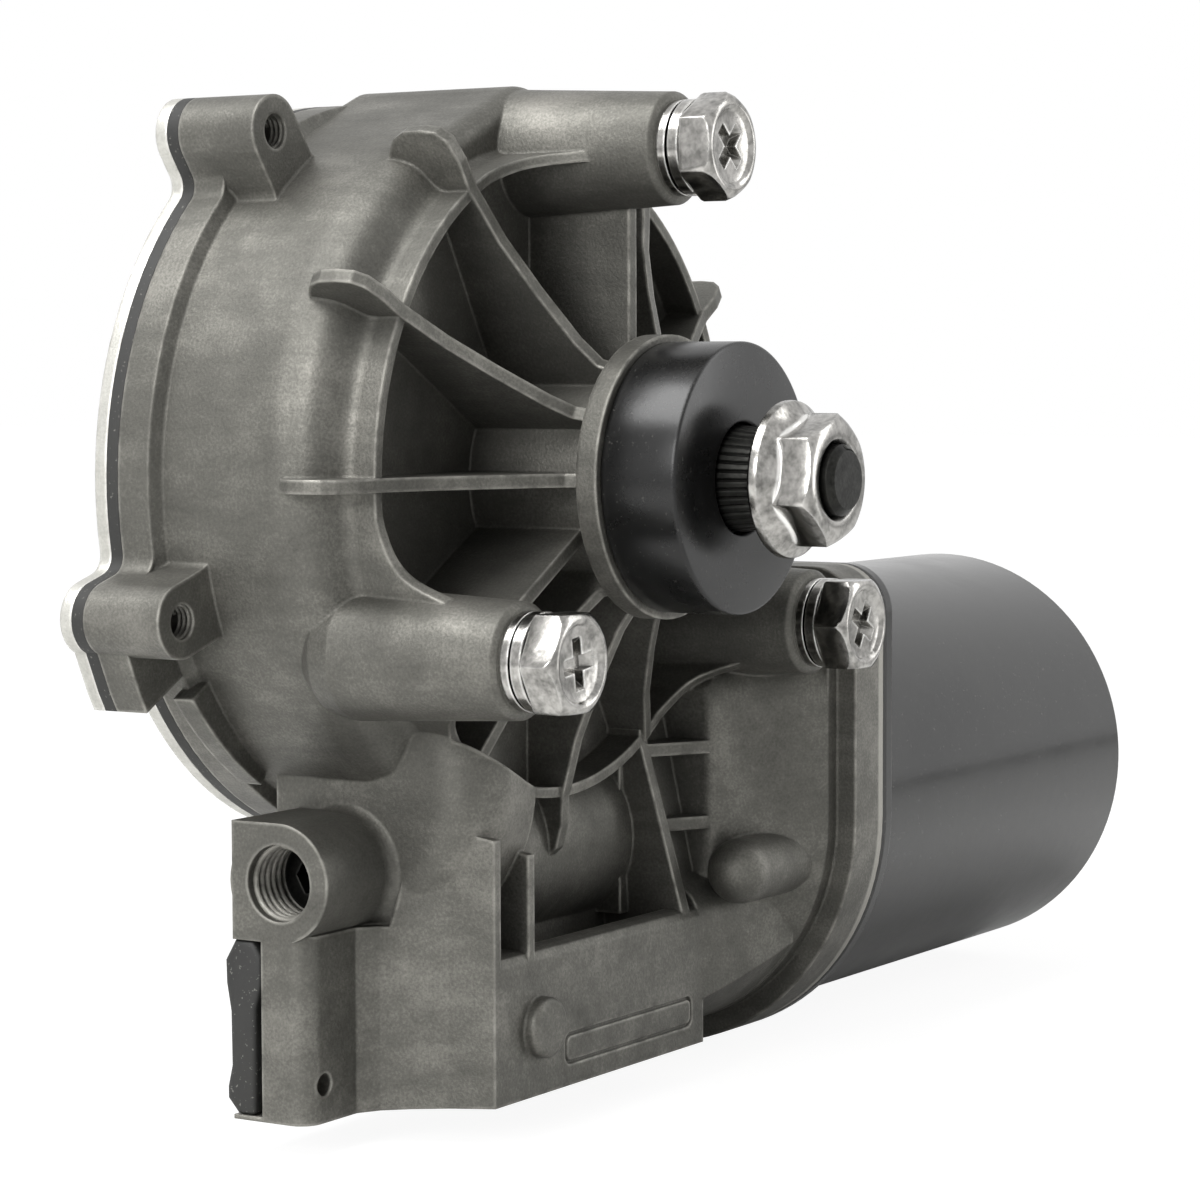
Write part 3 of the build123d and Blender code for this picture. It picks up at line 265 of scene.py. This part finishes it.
def casting(name, dark, plain, light, dull, wear_code):
    finish, shader, where = new_finish(name, Metallic=0.7)
    cloud = add(finish, "TexNoise", {"Vector": where, "Scale": per_metre(16), "Detail": 4.0,
                                     "Roughness": 0.5, "Distortion": 0.4})
    stretched = add(finish, "Mapping", {"Vector": where, "Scale": (1.0, 0.3, 1.0)})
    streak = add(finish, "TexNoise", {"Vector": stretched.outputs[0], "Scale": per_metre(3.2),
                                      "Detail": 3.0, "Roughness": 0.6})
    grain = add(finish, "TexNoise", {"Vector": where, "Scale": per_metre(0.4), "Detail": 2.0,
                                     "Roughness": 0.6})
    both = add(finish, "Mix", {0: 0.35, 2: cloud.outputs["Fac"], 3: streak.outputs["Fac"]})
    tone = add(finish, "Mix", {0: 0.3, 2: both.outputs[0], 3: grain.outputs["Fac"]})
    colour = add(finish, "ValToRGB", {"Fac": tone.outputs[0]},
                 [(0.32, dark), (0.5, plain), (0.7, light)])
    # Painted shade: ambient occlusion over 45 mm darkens the colour in the pockets and in the hollows
    # round the motor.
    painted_shade_ao = add(finish, "AmbientOcclusion", {"Distance": 0.045}, samples=8)
    depth = add(finish, "MapRange", {0: painted_shade_ao.outputs["AO"], 1: 0.1, 2: 0.9, 3: 0.9, 4: 1.0})
    shaded = add(finish, "Mix", {0: 1.0, 6: colour.outputs["Color"], 7: depth.outputs[0]},
                 data_type="RGBA", blend_type="MULTIPLY")
    thin = add(finish, "AmbientOcclusion", {"Distance": 0.0007}, samples=8, inside=True,
               only_local=True)
    edge = add(finish, "MapRange", {0: thin.outputs["AO"], 1: 0.86, 2: 0.5, 3: 0.0, 4: 1.0})
    patchy = add(finish, "MapRange", {0: streak.outputs["Fac"], 1: 0.35, 2: 0.62, 3: 0.15, 4: 0.8})
    worn = add(finish, "Math", {0: edge.outputs[0], 1: patchy.outputs[0]}, operation="MULTIPLY")
    brightened_edges = add(finish, "Mix", {0: worn.outputs[0], 6: shaded.outputs[2], 7: linear(wear_code)},
                 data_type="RGBA")
    along = add(finish, "SeparateXYZ", {"Vector": where})
    machined = add(finish, "MapRange", {0: along.outputs["X"], 1: MILLED_FROM, 2: MILLED_TO,
                                       3: 0.0, 4: 0.75})
    final = add(finish, "Mix", {0: machined.outputs[0], 6: brightened_edges.outputs[2], 7: linear(wear_code)},
                data_type="RGBA")
    wire(finish, final.outputs[2], shader, "Base Color")
    rough = add(finish, "MapRange", {0: tone.outputs[0], 1: 0.3, 2: 0.7, 3: dull + 0.08, 4: dull - 0.06})
    wire(finish, rough.outputs[0], shader, "Roughness")
    rounded = add(finish, "Bevel", {"Radius": 0.0007}, samples=6)
    skin = add(finish, "Bump", {"Height": grain.outputs["Fac"], "Distance": 0.00010, "Strength": 0.5,
                                "Normal": rounded.outputs[0]})
    wave = add(finish, "Bump", {"Height": both.outputs[0], "Distance": 0.0004, "Strength": 0.25,
                                "Normal": skin.outputs[0]})
    wire(finish, wave.outputs[0], shader, "Normal")
    return finish


cast_aluminium = casting("die_cast_aluminium", "#484743", "#5c5b56", "#7d7b75", 0.5, "#a3a19a")
pressed_aluminium = casting("pressed_aluminium", "#9f9e99", "#b7b6b0", "#cccbc6", 0.42, "#e6e5e1")
print("finishes:", cast_aluminium.name, pressed_aluminium.name)

# %% [markdown]
# ## Plated, blackened and ground steel
# Fasteners are dipped in zinc and passivated, so they are bright with a faint cloudiness. The output
# shaft is blackened in hot salts, which leaves a dark oily skin. Ground steel shows fine turning marks.
# All are metals, so only colour, roughness and a very fine bump differ. Ambient occlusion darkens the
# colour in small hollows as painted shade, and the outer edges are painted in a lighter colour, partly
# as metal worn bright by handling and partly as a painted highlight.

# %% Finishes of steel
def steel(name, dark, light, rim, smooth, dull, grain_mm, height):
    finish, shader, where = new_finish(name, Metallic=1.0)
    cloud = add(finish, "TexNoise", {"Vector": where, "Scale": per_metre(2.4), "Detail": 5.0,
                                     "Roughness": 0.6})
    grain = add(finish, "TexNoise", {"Vector": where, "Scale": per_metre(grain_mm), "Detail": 2.0})
    tone = add(finish, "Mix", {0: 0.35, 2: cloud.outputs["Fac"], 3: grain.outputs["Fac"]})
    colour = add(finish, "ValToRGB", {"Fac": tone.outputs[0]}, [(0.34, dark), (0.62, light)])
    # Painted shade: ambient occlusion darkens the colour in small hollows and corners.
    painted_shade_ao = add(finish, "AmbientOcclusion", {"Distance": 0.003}, samples=6)
    depth = add(finish, "MapRange", {0: painted_shade_ao.outputs["AO"], 1: 0.2, 2: 0.9, 3: 0.6, 4: 1.0})
    shaded = add(finish, "Mix", {0: 1.0, 6: colour.outputs["Color"], 7: depth.outputs[0]},
                 data_type="RGBA", blend_type="MULTIPLY")
    # Painted highlight and wear: the outer edges are painted in the lighter edge colour.
    thin = add(finish, "AmbientOcclusion", {"Distance": 0.0006}, samples=6, inside=True,
               only_local=True)
    edge = add(finish, "MapRange", {0: thin.outputs["AO"], 1: 0.85, 2: 0.5, 3: 0.0, 4: 0.85})
    brightened_edges = add(finish, "Mix", {0: edge.outputs[0], 6: shaded.outputs[2], 7: linear(rim)},
                 data_type="RGBA")
    wire(finish, brightened_edges.outputs[2], shader, "Base Color")
    rough = add(finish, "MapRange", {0: tone.outputs[0], 1: 0.3, 2: 0.7, 3: dull, 4: smooth})
    wire(finish, rough.outputs[0], shader, "Roughness")
    rounded = add(finish, "Bevel", {"Radius": 0.00025}, samples=4)
    skin = add(finish, "Bump", {"Height": grain.outputs["Fac"], "Distance": height, "Strength": 0.4,
                                "Normal": rounded.outputs[0]})
    wire(finish, skin.outputs[0], shader, "Normal")
    return finish


# The third colour of each steel is painted on its edges, partly as wear and partly as a painted
# highlight.
zinc_steel = steel("bright_zinc_plated_steel", "#6b6a67", "#b2b0ac", "#f6f5f2", 0.12, 0.26, 0.8, 0.00003)
black_steel = steel("black_oxide_steel", "#1c1c1b", "#30302e", "#4a4a47", 0.34, 0.5, 0.5, 0.00004)
ground_steel = steel("ground_steel", "#8e8e90", "#b4b4b5", "#dcdcdc", 0.22, 0.34, 0.4, 0.00003)
print("steels:", [m.name for m in (zinc_steel, black_steel, ground_steel)])

# %% [markdown]
# ## Brass, bronze and copper
# Bushes are sintered bronze, full of oil and slightly porous. Contacts are rolled brass. The winding is
# copper under clear enamel. They sit inside, but they are finished for anyone who opens the motor.

# %% Finishes of copper alloys
def copper_alloy(name, dark, light, dull, pore_mm, depth):
    finish, shader, where = new_finish(name, Metallic=1.0, Roughness=dull)
    pores = add(finish, "TexVoronoi", {"Vector": where, "Scale": per_metre(pore_mm)})
    cloud = add(finish, "TexNoise", {"Vector": where, "Scale": per_metre(5), "Detail": 4.0})
    tone = add(finish, "Mix", {0: 0.5, 2: cloud.outputs["Fac"], 3: pores.outputs["Distance"]})
    colour = add(finish, "ValToRGB", {"Fac": tone.outputs[0]}, [(0.25, dark), (0.6, light)])
    wire(finish, colour.outputs["Color"], shader, "Base Color")
    skin = add(finish, "Bump", {"Height": pores.outputs["Distance"], "Distance": depth, "Strength": 0.4})
    wire(finish, skin.outputs[0], shader, "Normal")
    return finish


bronze = copper_alloy("sintered_bronze", "#6b4a26", "#9a7242", 0.5, 0.4, 0.00008)
brass = copper_alloy("rolled_brass", "#b08a4a", "#d2b06c", 0.3, 0.9, 0.00002)
copper = copper_alloy("enamelled_copper", "#9a4a26", "#c9764a", 0.28, 0.8, 0.0001)
print("copper alloys:", [m.name for m in (bronze, brass, copper)])

# %% [markdown]
# ## Black enamel, moulded plastic and rubber
# The can is deep drawn and sprayed with black enamel: a smooth gloss with a slight orange peel about
# 2 mm wide, and a little dust. The cap is moulded nylon with a semi-gloss skin. Rubber is matt, with a
# grey bloom. Acetal wheels are off-white and waxy, and ferrite and carbon are pressed powders.

# %% Finishes of paint, plastic and rubber
def coating(name, dark, light, smooth, dull, peel_mm, peel_depth, dust, coat=0.0, level=0.5):
    finish, shader, where = new_finish(name, **{"IOR": 1.5, "Coat Weight": coat, "Coat Roughness": 0.06})
    shader.inputs["Specular IOR Level"].default_value = level
    peel = add(finish, "TexNoise", {"Vector": where, "Scale": per_metre(peel_mm), "Detail": 2.0})
    cloud = add(finish, "TexNoise", {"Vector": where, "Scale": per_metre(18), "Detail": 6.0,
                                     "Roughness": 0.65})
    colour = add(finish, "ValToRGB", {"Fac": cloud.outputs["Fac"]}, [(0.35, dark), (0.68, light)])
    specks = add(finish, "TexNoise", {"Vector": where, "Scale": per_metre(0.5), "Detail": 1.0})
    grit = add(finish, "MapRange", {0: specks.outputs["Fac"], 1: 0.68, 2: 0.76, 3: 0.0, 4: dust})
    dusty = add(finish, "Mix", {0: grit.outputs[0], 6: colour.outputs["Color"], 7: linear("#8d8c86")},
                data_type="RGBA")
    wire(finish, dusty.outputs[2], shader, "Base Color")
    rough = add(finish, "MapRange", {0: cloud.outputs["Fac"], 1: 0.3, 2: 0.7, 3: smooth, 4: dull})
    wire(finish, rough.outputs[0], shader, "Roughness")
    rounded = add(finish, "Bevel", {"Radius": 0.0004}, samples=4)
    skin = add(finish, "Bump", {"Height": peel.outputs["Fac"], "Distance": peel_depth, "Strength": 0.25,
                                "Normal": rounded.outputs[0]})
    wire(finish, skin.outputs[0], shader, "Normal")
    return finish


black_enamel = coating("gloss_black_enamel", "#141414", "#1e1e1d", 0.16, 0.26, 2.2, 0.00006, 0.2,
                       coat=0.1, level=0.4)
black_nylon = coating("black_moulded_nylon", "#0d0d0d", "#151515", 0.24, 0.32, 1.0, 0.00003, 0.12,
                      level=0.4)
black_rubber = coating("black_nitrile_rubber", "#161615", "#262624", 0.55, 0.75, 0.9, 0.00012, 0.4)
white_acetal = coating("white_acetal", "#d9d6c8", "#e6e3d8", 0.35, 0.45, 1.2, 0.00003, 0.1)
laminate = coating("paper_laminate", "#4a2c18", "#5e3a20", 0.4, 0.5, 0.6, 0.00003, 0.1)
ferrite = coating("hard_ferrite", "#2e2e30", "#3c3c3e", 0.5, 0.62, 0.5, 0.00008, 0.2)
carbon = coating("pressed_carbon", "#1b1b1c", "#29292a", 0.42, 0.52, 0.4, 0.00005, 0.15)
print("coatings:", [m.name for m in (black_enamel, black_nylon, black_rubber, white_acetal)])

# %% [markdown]
# ## Dress the CAD parts
# The record names a material slot for every part. Each slot gets one finish, so that a part which
# stays as CAD and a piece that replaces one look alike.

# %% Give every CAD part its finish
finish_of_slot = {
    "cast_aluminium": cast_aluminium, "cover_aluminium": pressed_aluminium, "black_paint": black_enamel,
    "black_plastic": black_nylon, "black_rubber": black_rubber, "zinc_plated_steel": zinc_steel,
    "dark_steel": black_steel, "plain_steel": ground_steel, "bronze": bronze, "brass": brass,
    "copper": copper, "nylon": white_acetal, "brown_laminate": laminate, "ferrite": ferrite,
    "carbon": carbon,
}
slot_of_node = {part["node"]: part["material_slot"] for part in frame["record"]["subparts"]}
for name, item in nodes.items():
    for material_slot in item.material_slots:
        material_slot.material = finish_of_slot[slot_of_node[name]]
print(len(nodes), "CAD parts dressed")

# %% [markdown]
# ## From bmesh to a finished piece
# Turned parts are spun from a half outline. Each new piece is cleaned, its faces are turned outwards,
# its sharp edges stay sharp and the rest is shaded smooth. It then rides on the body that carries it.

# %% Helpers for pieces
def spun(mesh, outline, centre, axis="Y", steps=72):
    """Spins an outline of radius and distance along the axis, in millimetres, round the centre."""
    along = Vector((0, 1, 0)) if axis == "Y" else Vector((1, 0, 0))
    out = Vector((0, 0, 1))
    points = [mesh.verts.new(centre + (out * r + along * d) * MM) for r, d in outline]
    lines = [mesh.edges.new(pair) for pair in zip(points, points[1:])]
    bmesh.ops.spin(mesh, geom=points + lines, cent=centre, axis=along, angle=math.tau, steps=steps,
                   use_merge=True)


def closed(mesh):
    """Merges doubled points and turns every face outwards."""
    bmesh.ops.remove_doubles(mesh, verts=mesh.verts, dist=0.000002)
    bmesh.ops.dissolve_degenerate(mesh, edges=mesh.edges, dist=0.000001)
    bmesh.ops.recalc_face_normals(mesh, faces=mesh.faces)


def soften(mesh, width_mm, segments=2, over=28):
    """Bevels the edges that are sharper than an angle."""
    sharp = [e for e in mesh.edges
             if len(e.link_faces) == 2 and e.calc_face_angle() > math.radians(over)]
    bmesh.ops.bevel(mesh, geom=sharp, offset=width_mm * MM, segments=segments, profile=0.5,
                    affect="EDGES", material=-1, clamp_overlap=True)


def finished(name, mesh, finish, body, stands_for=(), over=32):
    """Turns a bmesh into a piece that rides on a body."""
    data = bpy.data.meshes.new(name)
    mesh.to_mesh(data)
    mesh.free()
    data.materials.append(finish)
    data.shade_smooth()
    data.set_sharp_from_angle(angle=math.radians(over))
    item = bpy.data.objects.new(name, data)
    bpy.context.scene.collection.objects.link(item)
    if stands_for:
        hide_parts(*stands_for)
    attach(item, body)
    print(name, len(data.polygons), "faces")
    return item


def flats(mesh, centre, across, turn, count=6):
    """Cuts flats on a round head whose axis is Y: one plane per flat, and what is outside goes."""
    for i in range(count):
        angle = math.radians(turn + 30 + i * 360 / count)
        out = Vector((math.cos(angle), 0, math.sin(angle)))
        cut = bmesh.ops.bisect_plane(mesh, geom=mesh.verts[:] + mesh.edges[:] + mesh.faces[:],
                                     dist=0.0000001, plane_co=centre + out * across / 2 * MM,
                                     plane_no=out, clear_outer=True)
        rim = [e for e in cut["geom_cut"] if isinstance(e, bmesh.types.BMEdge)]
        bmesh.ops.edgenet_fill(mesh, edges=rim)


print("helpers ready")

# %% [markdown]
# ## A cross recess
# The driver recess is cut with a tapered cross. A boolean with the exact solver does it once on the
# finished head, and the result is kept as a plain mesh.

# %% Cross recess cutter
def cross_cutter(centres, fronts, half, arm, depth, turns, inward):
    """Tapered crosses, each sunk from its front along the inward direction."""
    cutter = bmesh.new()
    for centre, front, turn in zip(centres, fronts, turns):
        for quarter in (0, 90):
            block = bmesh.ops.create_cube(cutter, size=1.0)["verts"]
            bmesh.ops.scale(cutter, verts=block, vec=(2 * half * MM, 2 * depth * MM, arm * MM))
            deep = [v for v in block if v.co.y > 0]
            bmesh.ops.scale(cutter, verts=deep, vec=(0.5, 1.0, 0.8))
            bmesh.ops.rotate(cutter, verts=block, cent=(0, 0, 0),
                             matrix=Matrix.Rotation(math.radians(turn + quarter), 3, "Y"))
            bmesh.ops.rotate(cutter, verts=block, cent=(0, 0, 0),
                             matrix=Vector((0, 1, 0)).rotation_difference(inward).to_matrix())
            bmesh.ops.translate(cutter, verts=block, vec=centre + inward * front * MM)
    return cutter


def cut_away(mesh, cutter):
    """Subtracts the cutter from the mesh with a boolean and returns the result as a bmesh."""
    items = []
    for name, source in (("cut_body", mesh), ("cut_tool", cutter)):
        data = bpy.data.meshes.new(name)
        source.to_mesh(data)
        source.free()
        item = bpy.data.objects.new(name, data)
        bpy.context.scene.collection.objects.link(item)
        items.append(item)
    modifier = items[0].modifiers.new("recess", "BOOLEAN")
    modifier.operation = "DIFFERENCE"
    modifier.solver = "EXACT"
    modifier.use_self = True
    modifier.object = items[1]
    bpy.context.view_layer.update()
    shown = items[0].evaluated_get(bpy.context.evaluated_depsgraph_get())
    result = bmesh.new()
    result.from_mesh(shown.to_mesh())
    shown.to_mesh_clear()
    for item in items:
        data = item.data
        bpy.data.objects.remove(item)
        bpy.data.meshes.remove(data)
    return result


print("cutter ready")

# %% [markdown]
# ## Mounting bolts
# M8 bolts with an indented head: 13 mm across flats, a raised rim that is rounded off at the corners, a
# shallow dish and a cross recess. The head is spun, its six flats are cut with planes, and the
# recess is cut last.

# %% Mounting bolts
bolt_rear, bolt_front = -3.6, -8.7
dish = bolt_front + 0.65
bolts = bmesh.new()
bolt_places = [around(POST_CIRCLE, angle, 0) for angle in (90, 210, 330)]
for centre, turn in zip(bolt_places, (30, 0, 0)):
    one = bmesh.new()
    spun(one, [(0, bolt_rear), (7.3, bolt_rear), (7.5, bolt_rear - 0.3), (7.5, bolt_front + 1.3),
               (7.0, bolt_front + 0.5), (6.3, bolt_front + 0.08), (5.8, bolt_front),
               (5.4, bolt_front + 0.12), (5.0, bolt_front + 0.55), (4.6, dish), (0, dish)], centre)
    closed(one)
    flats(one, centre, 13.0, turn)
    closed(one)
    soften(one, 0.18, over=38)
    spun(one, [(0, bolt_rear - 0.4), (4.0, bolt_rear - 0.4), (4.0, 13.2), (3.2, 14.0), (0, 14.0)],
         centre, steps=32)
    closed(one)
    part = bpy.data.meshes.new("bolt")
    one.to_mesh(part)
    one.free()
    bolts.from_mesh(part)
    bpy.data.meshes.remove(part)
recess = cross_cutter(bolt_places, (dish,) * 3, 4.7, 2.3, 1.4, (42, -8, 30), Vector((0, 1, 0)))
bolts = cut_away(bolts, recess)
finished("mounting_bolt_set", bolts, zinc_steel, "housing",
         ["mounting_bolts"])

# %% [markdown]
# ## Spring washers
# A spring washer is one turn of square wire, cut off from a coil. Its ends stand a little apart, so it
# bites when the bolt is tightened. The square section is carried round by the spin operator, which also
# moves it along the bolt. The gaps point where each washer of the motor happened to stop.

# %% Spring washers
RISE = 0.4              # how far the ends stand apart along the bolt
COIL = 346              # degrees of wire, so the gap is 14 degrees
COIL_STEPS = 64

springs = bmesh.new()
along = Vector((0, 1, 0))
for centre, turn in zip(bolt_places, (200, 115, 150)):
    start = Matrix.Rotation(math.radians(turn), 3, "Y") @ Vector((0, 0, 1))
    square = [springs.verts.new(centre + (start * r + along * d) * MM)
              for r, d in ((4.1, -3.55), (6.6, -3.55), (6.7, -3.45),
                           (6.7, -1.95), (6.6, -1.85), (4.1, -1.85))]
    lines = [springs.edges.new((square[i], square[i - 1])) for i in range(6)]
    bmesh.ops.spin(springs, geom=square + lines, cent=centre, axis=along,
                   dvec=along * RISE / COIL_STEPS * MM, angle=math.radians(COIL), steps=COIL_STEPS)
bmesh.ops.edgenet_fill(springs, edges=[e for e in springs.edges if len(e.link_faces) < 2])
closed(springs)
finished("spring_washer_set", springs, zinc_steel, "housing",
         ["spring_washers"])

# %% [markdown]
# ## Flange nut
# The nut that clamps the crank arm: a hexagon of 16 mm with a skirt, a countersunk thread and
# corners turned off at the front. The skirt and the hexagon are one forging on the real nut.

# %% Flange nut
nut = bmesh.new()
origin = Vector((0, 0, 0))
spun(nut, [(4.95, -19.5), (4.95, -24.2), (5.7, -25.1), (7.7, -25.1), (8.4, -24.75), (9.24, -24.1),
           (9.24, -19.5), (4.95, -19.5)], origin)
closed(nut)
flats(nut, origin, 16.0, 20.5)
closed(nut)
soften(nut, 0.16, over=38)
spun(nut, [(4.95, -16.7), (4.95, -20.4), (8.1, -20.4), (8.6, -20.0), (9.3, -19.2), (10.3, -18.6),
           (10.8, -18.2), (10.9, -17.8), (10.9, -17.1), (10.6, -16.7), (4.95, -16.7)], origin)
closed(nut)
finished("crank_nut", nut, zinc_steel, "output", ["flange_nut"])

# %% [markdown]
# ## Screw threads
# A thread is one small triangle carried round the axis while it moves along it. The spin operator does
# both at once: its dvec moves each step a little further. Crests point outwards on the shaft and
# inwards in the holes.

# %% Threads on the shaft and in the holes
def thread(mesh, centre, axis, root, crest, start, pitch, turns, steps=40):
    """A helical ridge from start, in millimetres along the axis."""
    along = Vector((0, 1, 0)) if axis == "Y" else Vector((1, 0, 0))
    out = Vector((0, 0, 1))
    half = pitch * 0.42
    points = [mesh.verts.new(centre + (out * r + along * d) * MM)
              for r, d in ((root, start - half), (crest, start), (root, start + half))]
    lines = [mesh.edges.new((points[i], points[i - 1])) for i in range(3)]
    bmesh.ops.spin(mesh, geom=points + lines, cent=centre, axis=along, dvec=along * pitch / steps * MM,
                   angle=math.tau * turns, steps=int(steps * turns))
    ends = [e for e in mesh.edges if len(e.link_faces) < 2]
    bmesh.ops.edgenet_fill(mesh, edges=ends)


tip_thread = bmesh.new()
thread(tip_thread, origin, "Y", 4.3, 4.85, -26.0, 1.25, 1.5)
closed(tip_thread)
finished("shaft_tip_thread", tip_thread, black_steel, "output")

boss_thread = bmesh.new()
thread(boss_thread, MOTOR_AXIS, "X", 5.34, 4.75, -45.4, 1.25, 5.2)
closed(boss_thread)
finished("boss_thread", boss_thread, cast_aluminium, "housing")

ear_threads = bmesh.new()
for angle in EAR_ANGLES:
    thread(ear_threads, around(EAR_CIRCLE, angle, 0), "Y", 2.45, 2.1, 44.6, 0.8, 3.2, 24)
closed(ear_threads)
finished("ear_threads", ear_threads, cast_aluminium, "housing")

# %% [markdown]
# ## Shaft cap
# A moulded cap that is pushed over the hub's nose. Its outline is spun and the rims get the
# half-millimetre radius of the mould, which is what catches the thin bright line in the light.

# %% Shaft cap
cap = bmesh.new()
spun(cap, [(19.0, 1.5), (12.52, 1.5), (12.52, -8.3), (7.8, -8.3), (7.8, -10.0), (8.1, -10.3),
           (19.0, -10.3), (19.0, 1.5)], origin, steps=128)
closed(cap)
soften(cap, 0.45, 3, over=50)
finished("hub_cap", cap, black_nylon, "housing", ["shaft_cap"])

# %% [markdown]
# ## Grommet
# Soft rubber pressed into the cable outlet. It fills the outlet's outline and stands out a little below,
# so the block is pushed out from that outline, and its edges are rounded in three steps.

# %% Grommet
low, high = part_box("cable_grommet")
grommet = bmesh.new()
outline = [(45.4, -65.4), (45.3, -68.6), (44.6, -72.5), (44.5, -80.0), (45.2, -83.0), (45.2, -84.6),
           (43.4, -86.6), (40.4, -86.6), (40.3, -71.8), (39.2, -68.4), (39.2, -64.6), (40.6, -62.5),
           (43.7, -62.5)]
ring = [grommet.verts.new((low.x, y * MM, z * MM)) for y, z in outline]
face = grommet.faces.new(ring)
pushed = bmesh.ops.extrude_face_region(grommet, geom=[face])["geom"]
bmesh.ops.translate(grommet, verts=[v for v in pushed if isinstance(v, bmesh.types.BMVert)],
                    vec=(high.x - low.x, 0, 0))
closed(grommet)
soften(grommet, 0.7, 3, over=60)
finished("outlet_grommet", grommet, black_rubber, "housing",
         ["cable_grommet"])

# %% [markdown]
# ## Cover screws and can screws
# Pan heads with a cross recess hold the cover, and two long screws with the same heads hold the can.
# Both are spun, and the recess is cut as on the bolts.

# %% Screws of the cover and the can
cover_screws = bmesh.new()
screw_places = [around(EAR_CIRCLE, angle, 0) for angle in EAR_ANGLES]
for centre in screw_places:
    spun(cover_screws, [(0, 47.5), (1.6, 47.5), (2.4, 48.2), (2.4, 60.9), (4.0, 60.9), (4.0, 61.3),
                        (3.7, 61.9), (3.0, 62.3), (0, 62.4)], centre, steps=40)
closed(cover_screws)
recess = cross_cutter(screw_places, (-62.4,) * 5, 2.0, 0.9, 1.1, (0, 20, 45, 10, 30), Vector((0, -1, 0)))
cover_screws = cut_away(cover_screws, recess)
finished("cover_screw_set", cover_screws, zinc_steel, "housing",
         ["cover_screws"])

can_screws = bmesh.new()
turn = math.radians(192.2)
side = Vector((0, math.cos(turn), math.sin(turn))) * 28.1 * MM
screw_axes = [MOTOR_AXIS + side, MOTOR_AXIS - side]
for centre in screw_axes:
    spun(can_screws, [(0, 40.0), (1.8, 40.0), (2.4, 40.8), (2.4, 154.0), (4.3, 154.0), (4.3, 155.6),
                      (3.9, 156.5), (3.0, 157.0), (0, 157.0)], centre, "X", 40)
closed(can_screws)
recess = cross_cutter(screw_axes, (-157.0,) * 2, 2.3, 1.0, 1.6, (15, 50), Vector((-1, 0, 0)))
can_screws = cut_away(can_screws, recess)
finished("can_screw_set", can_screws, zinc_steel, "housing",
         ["can_screws"])
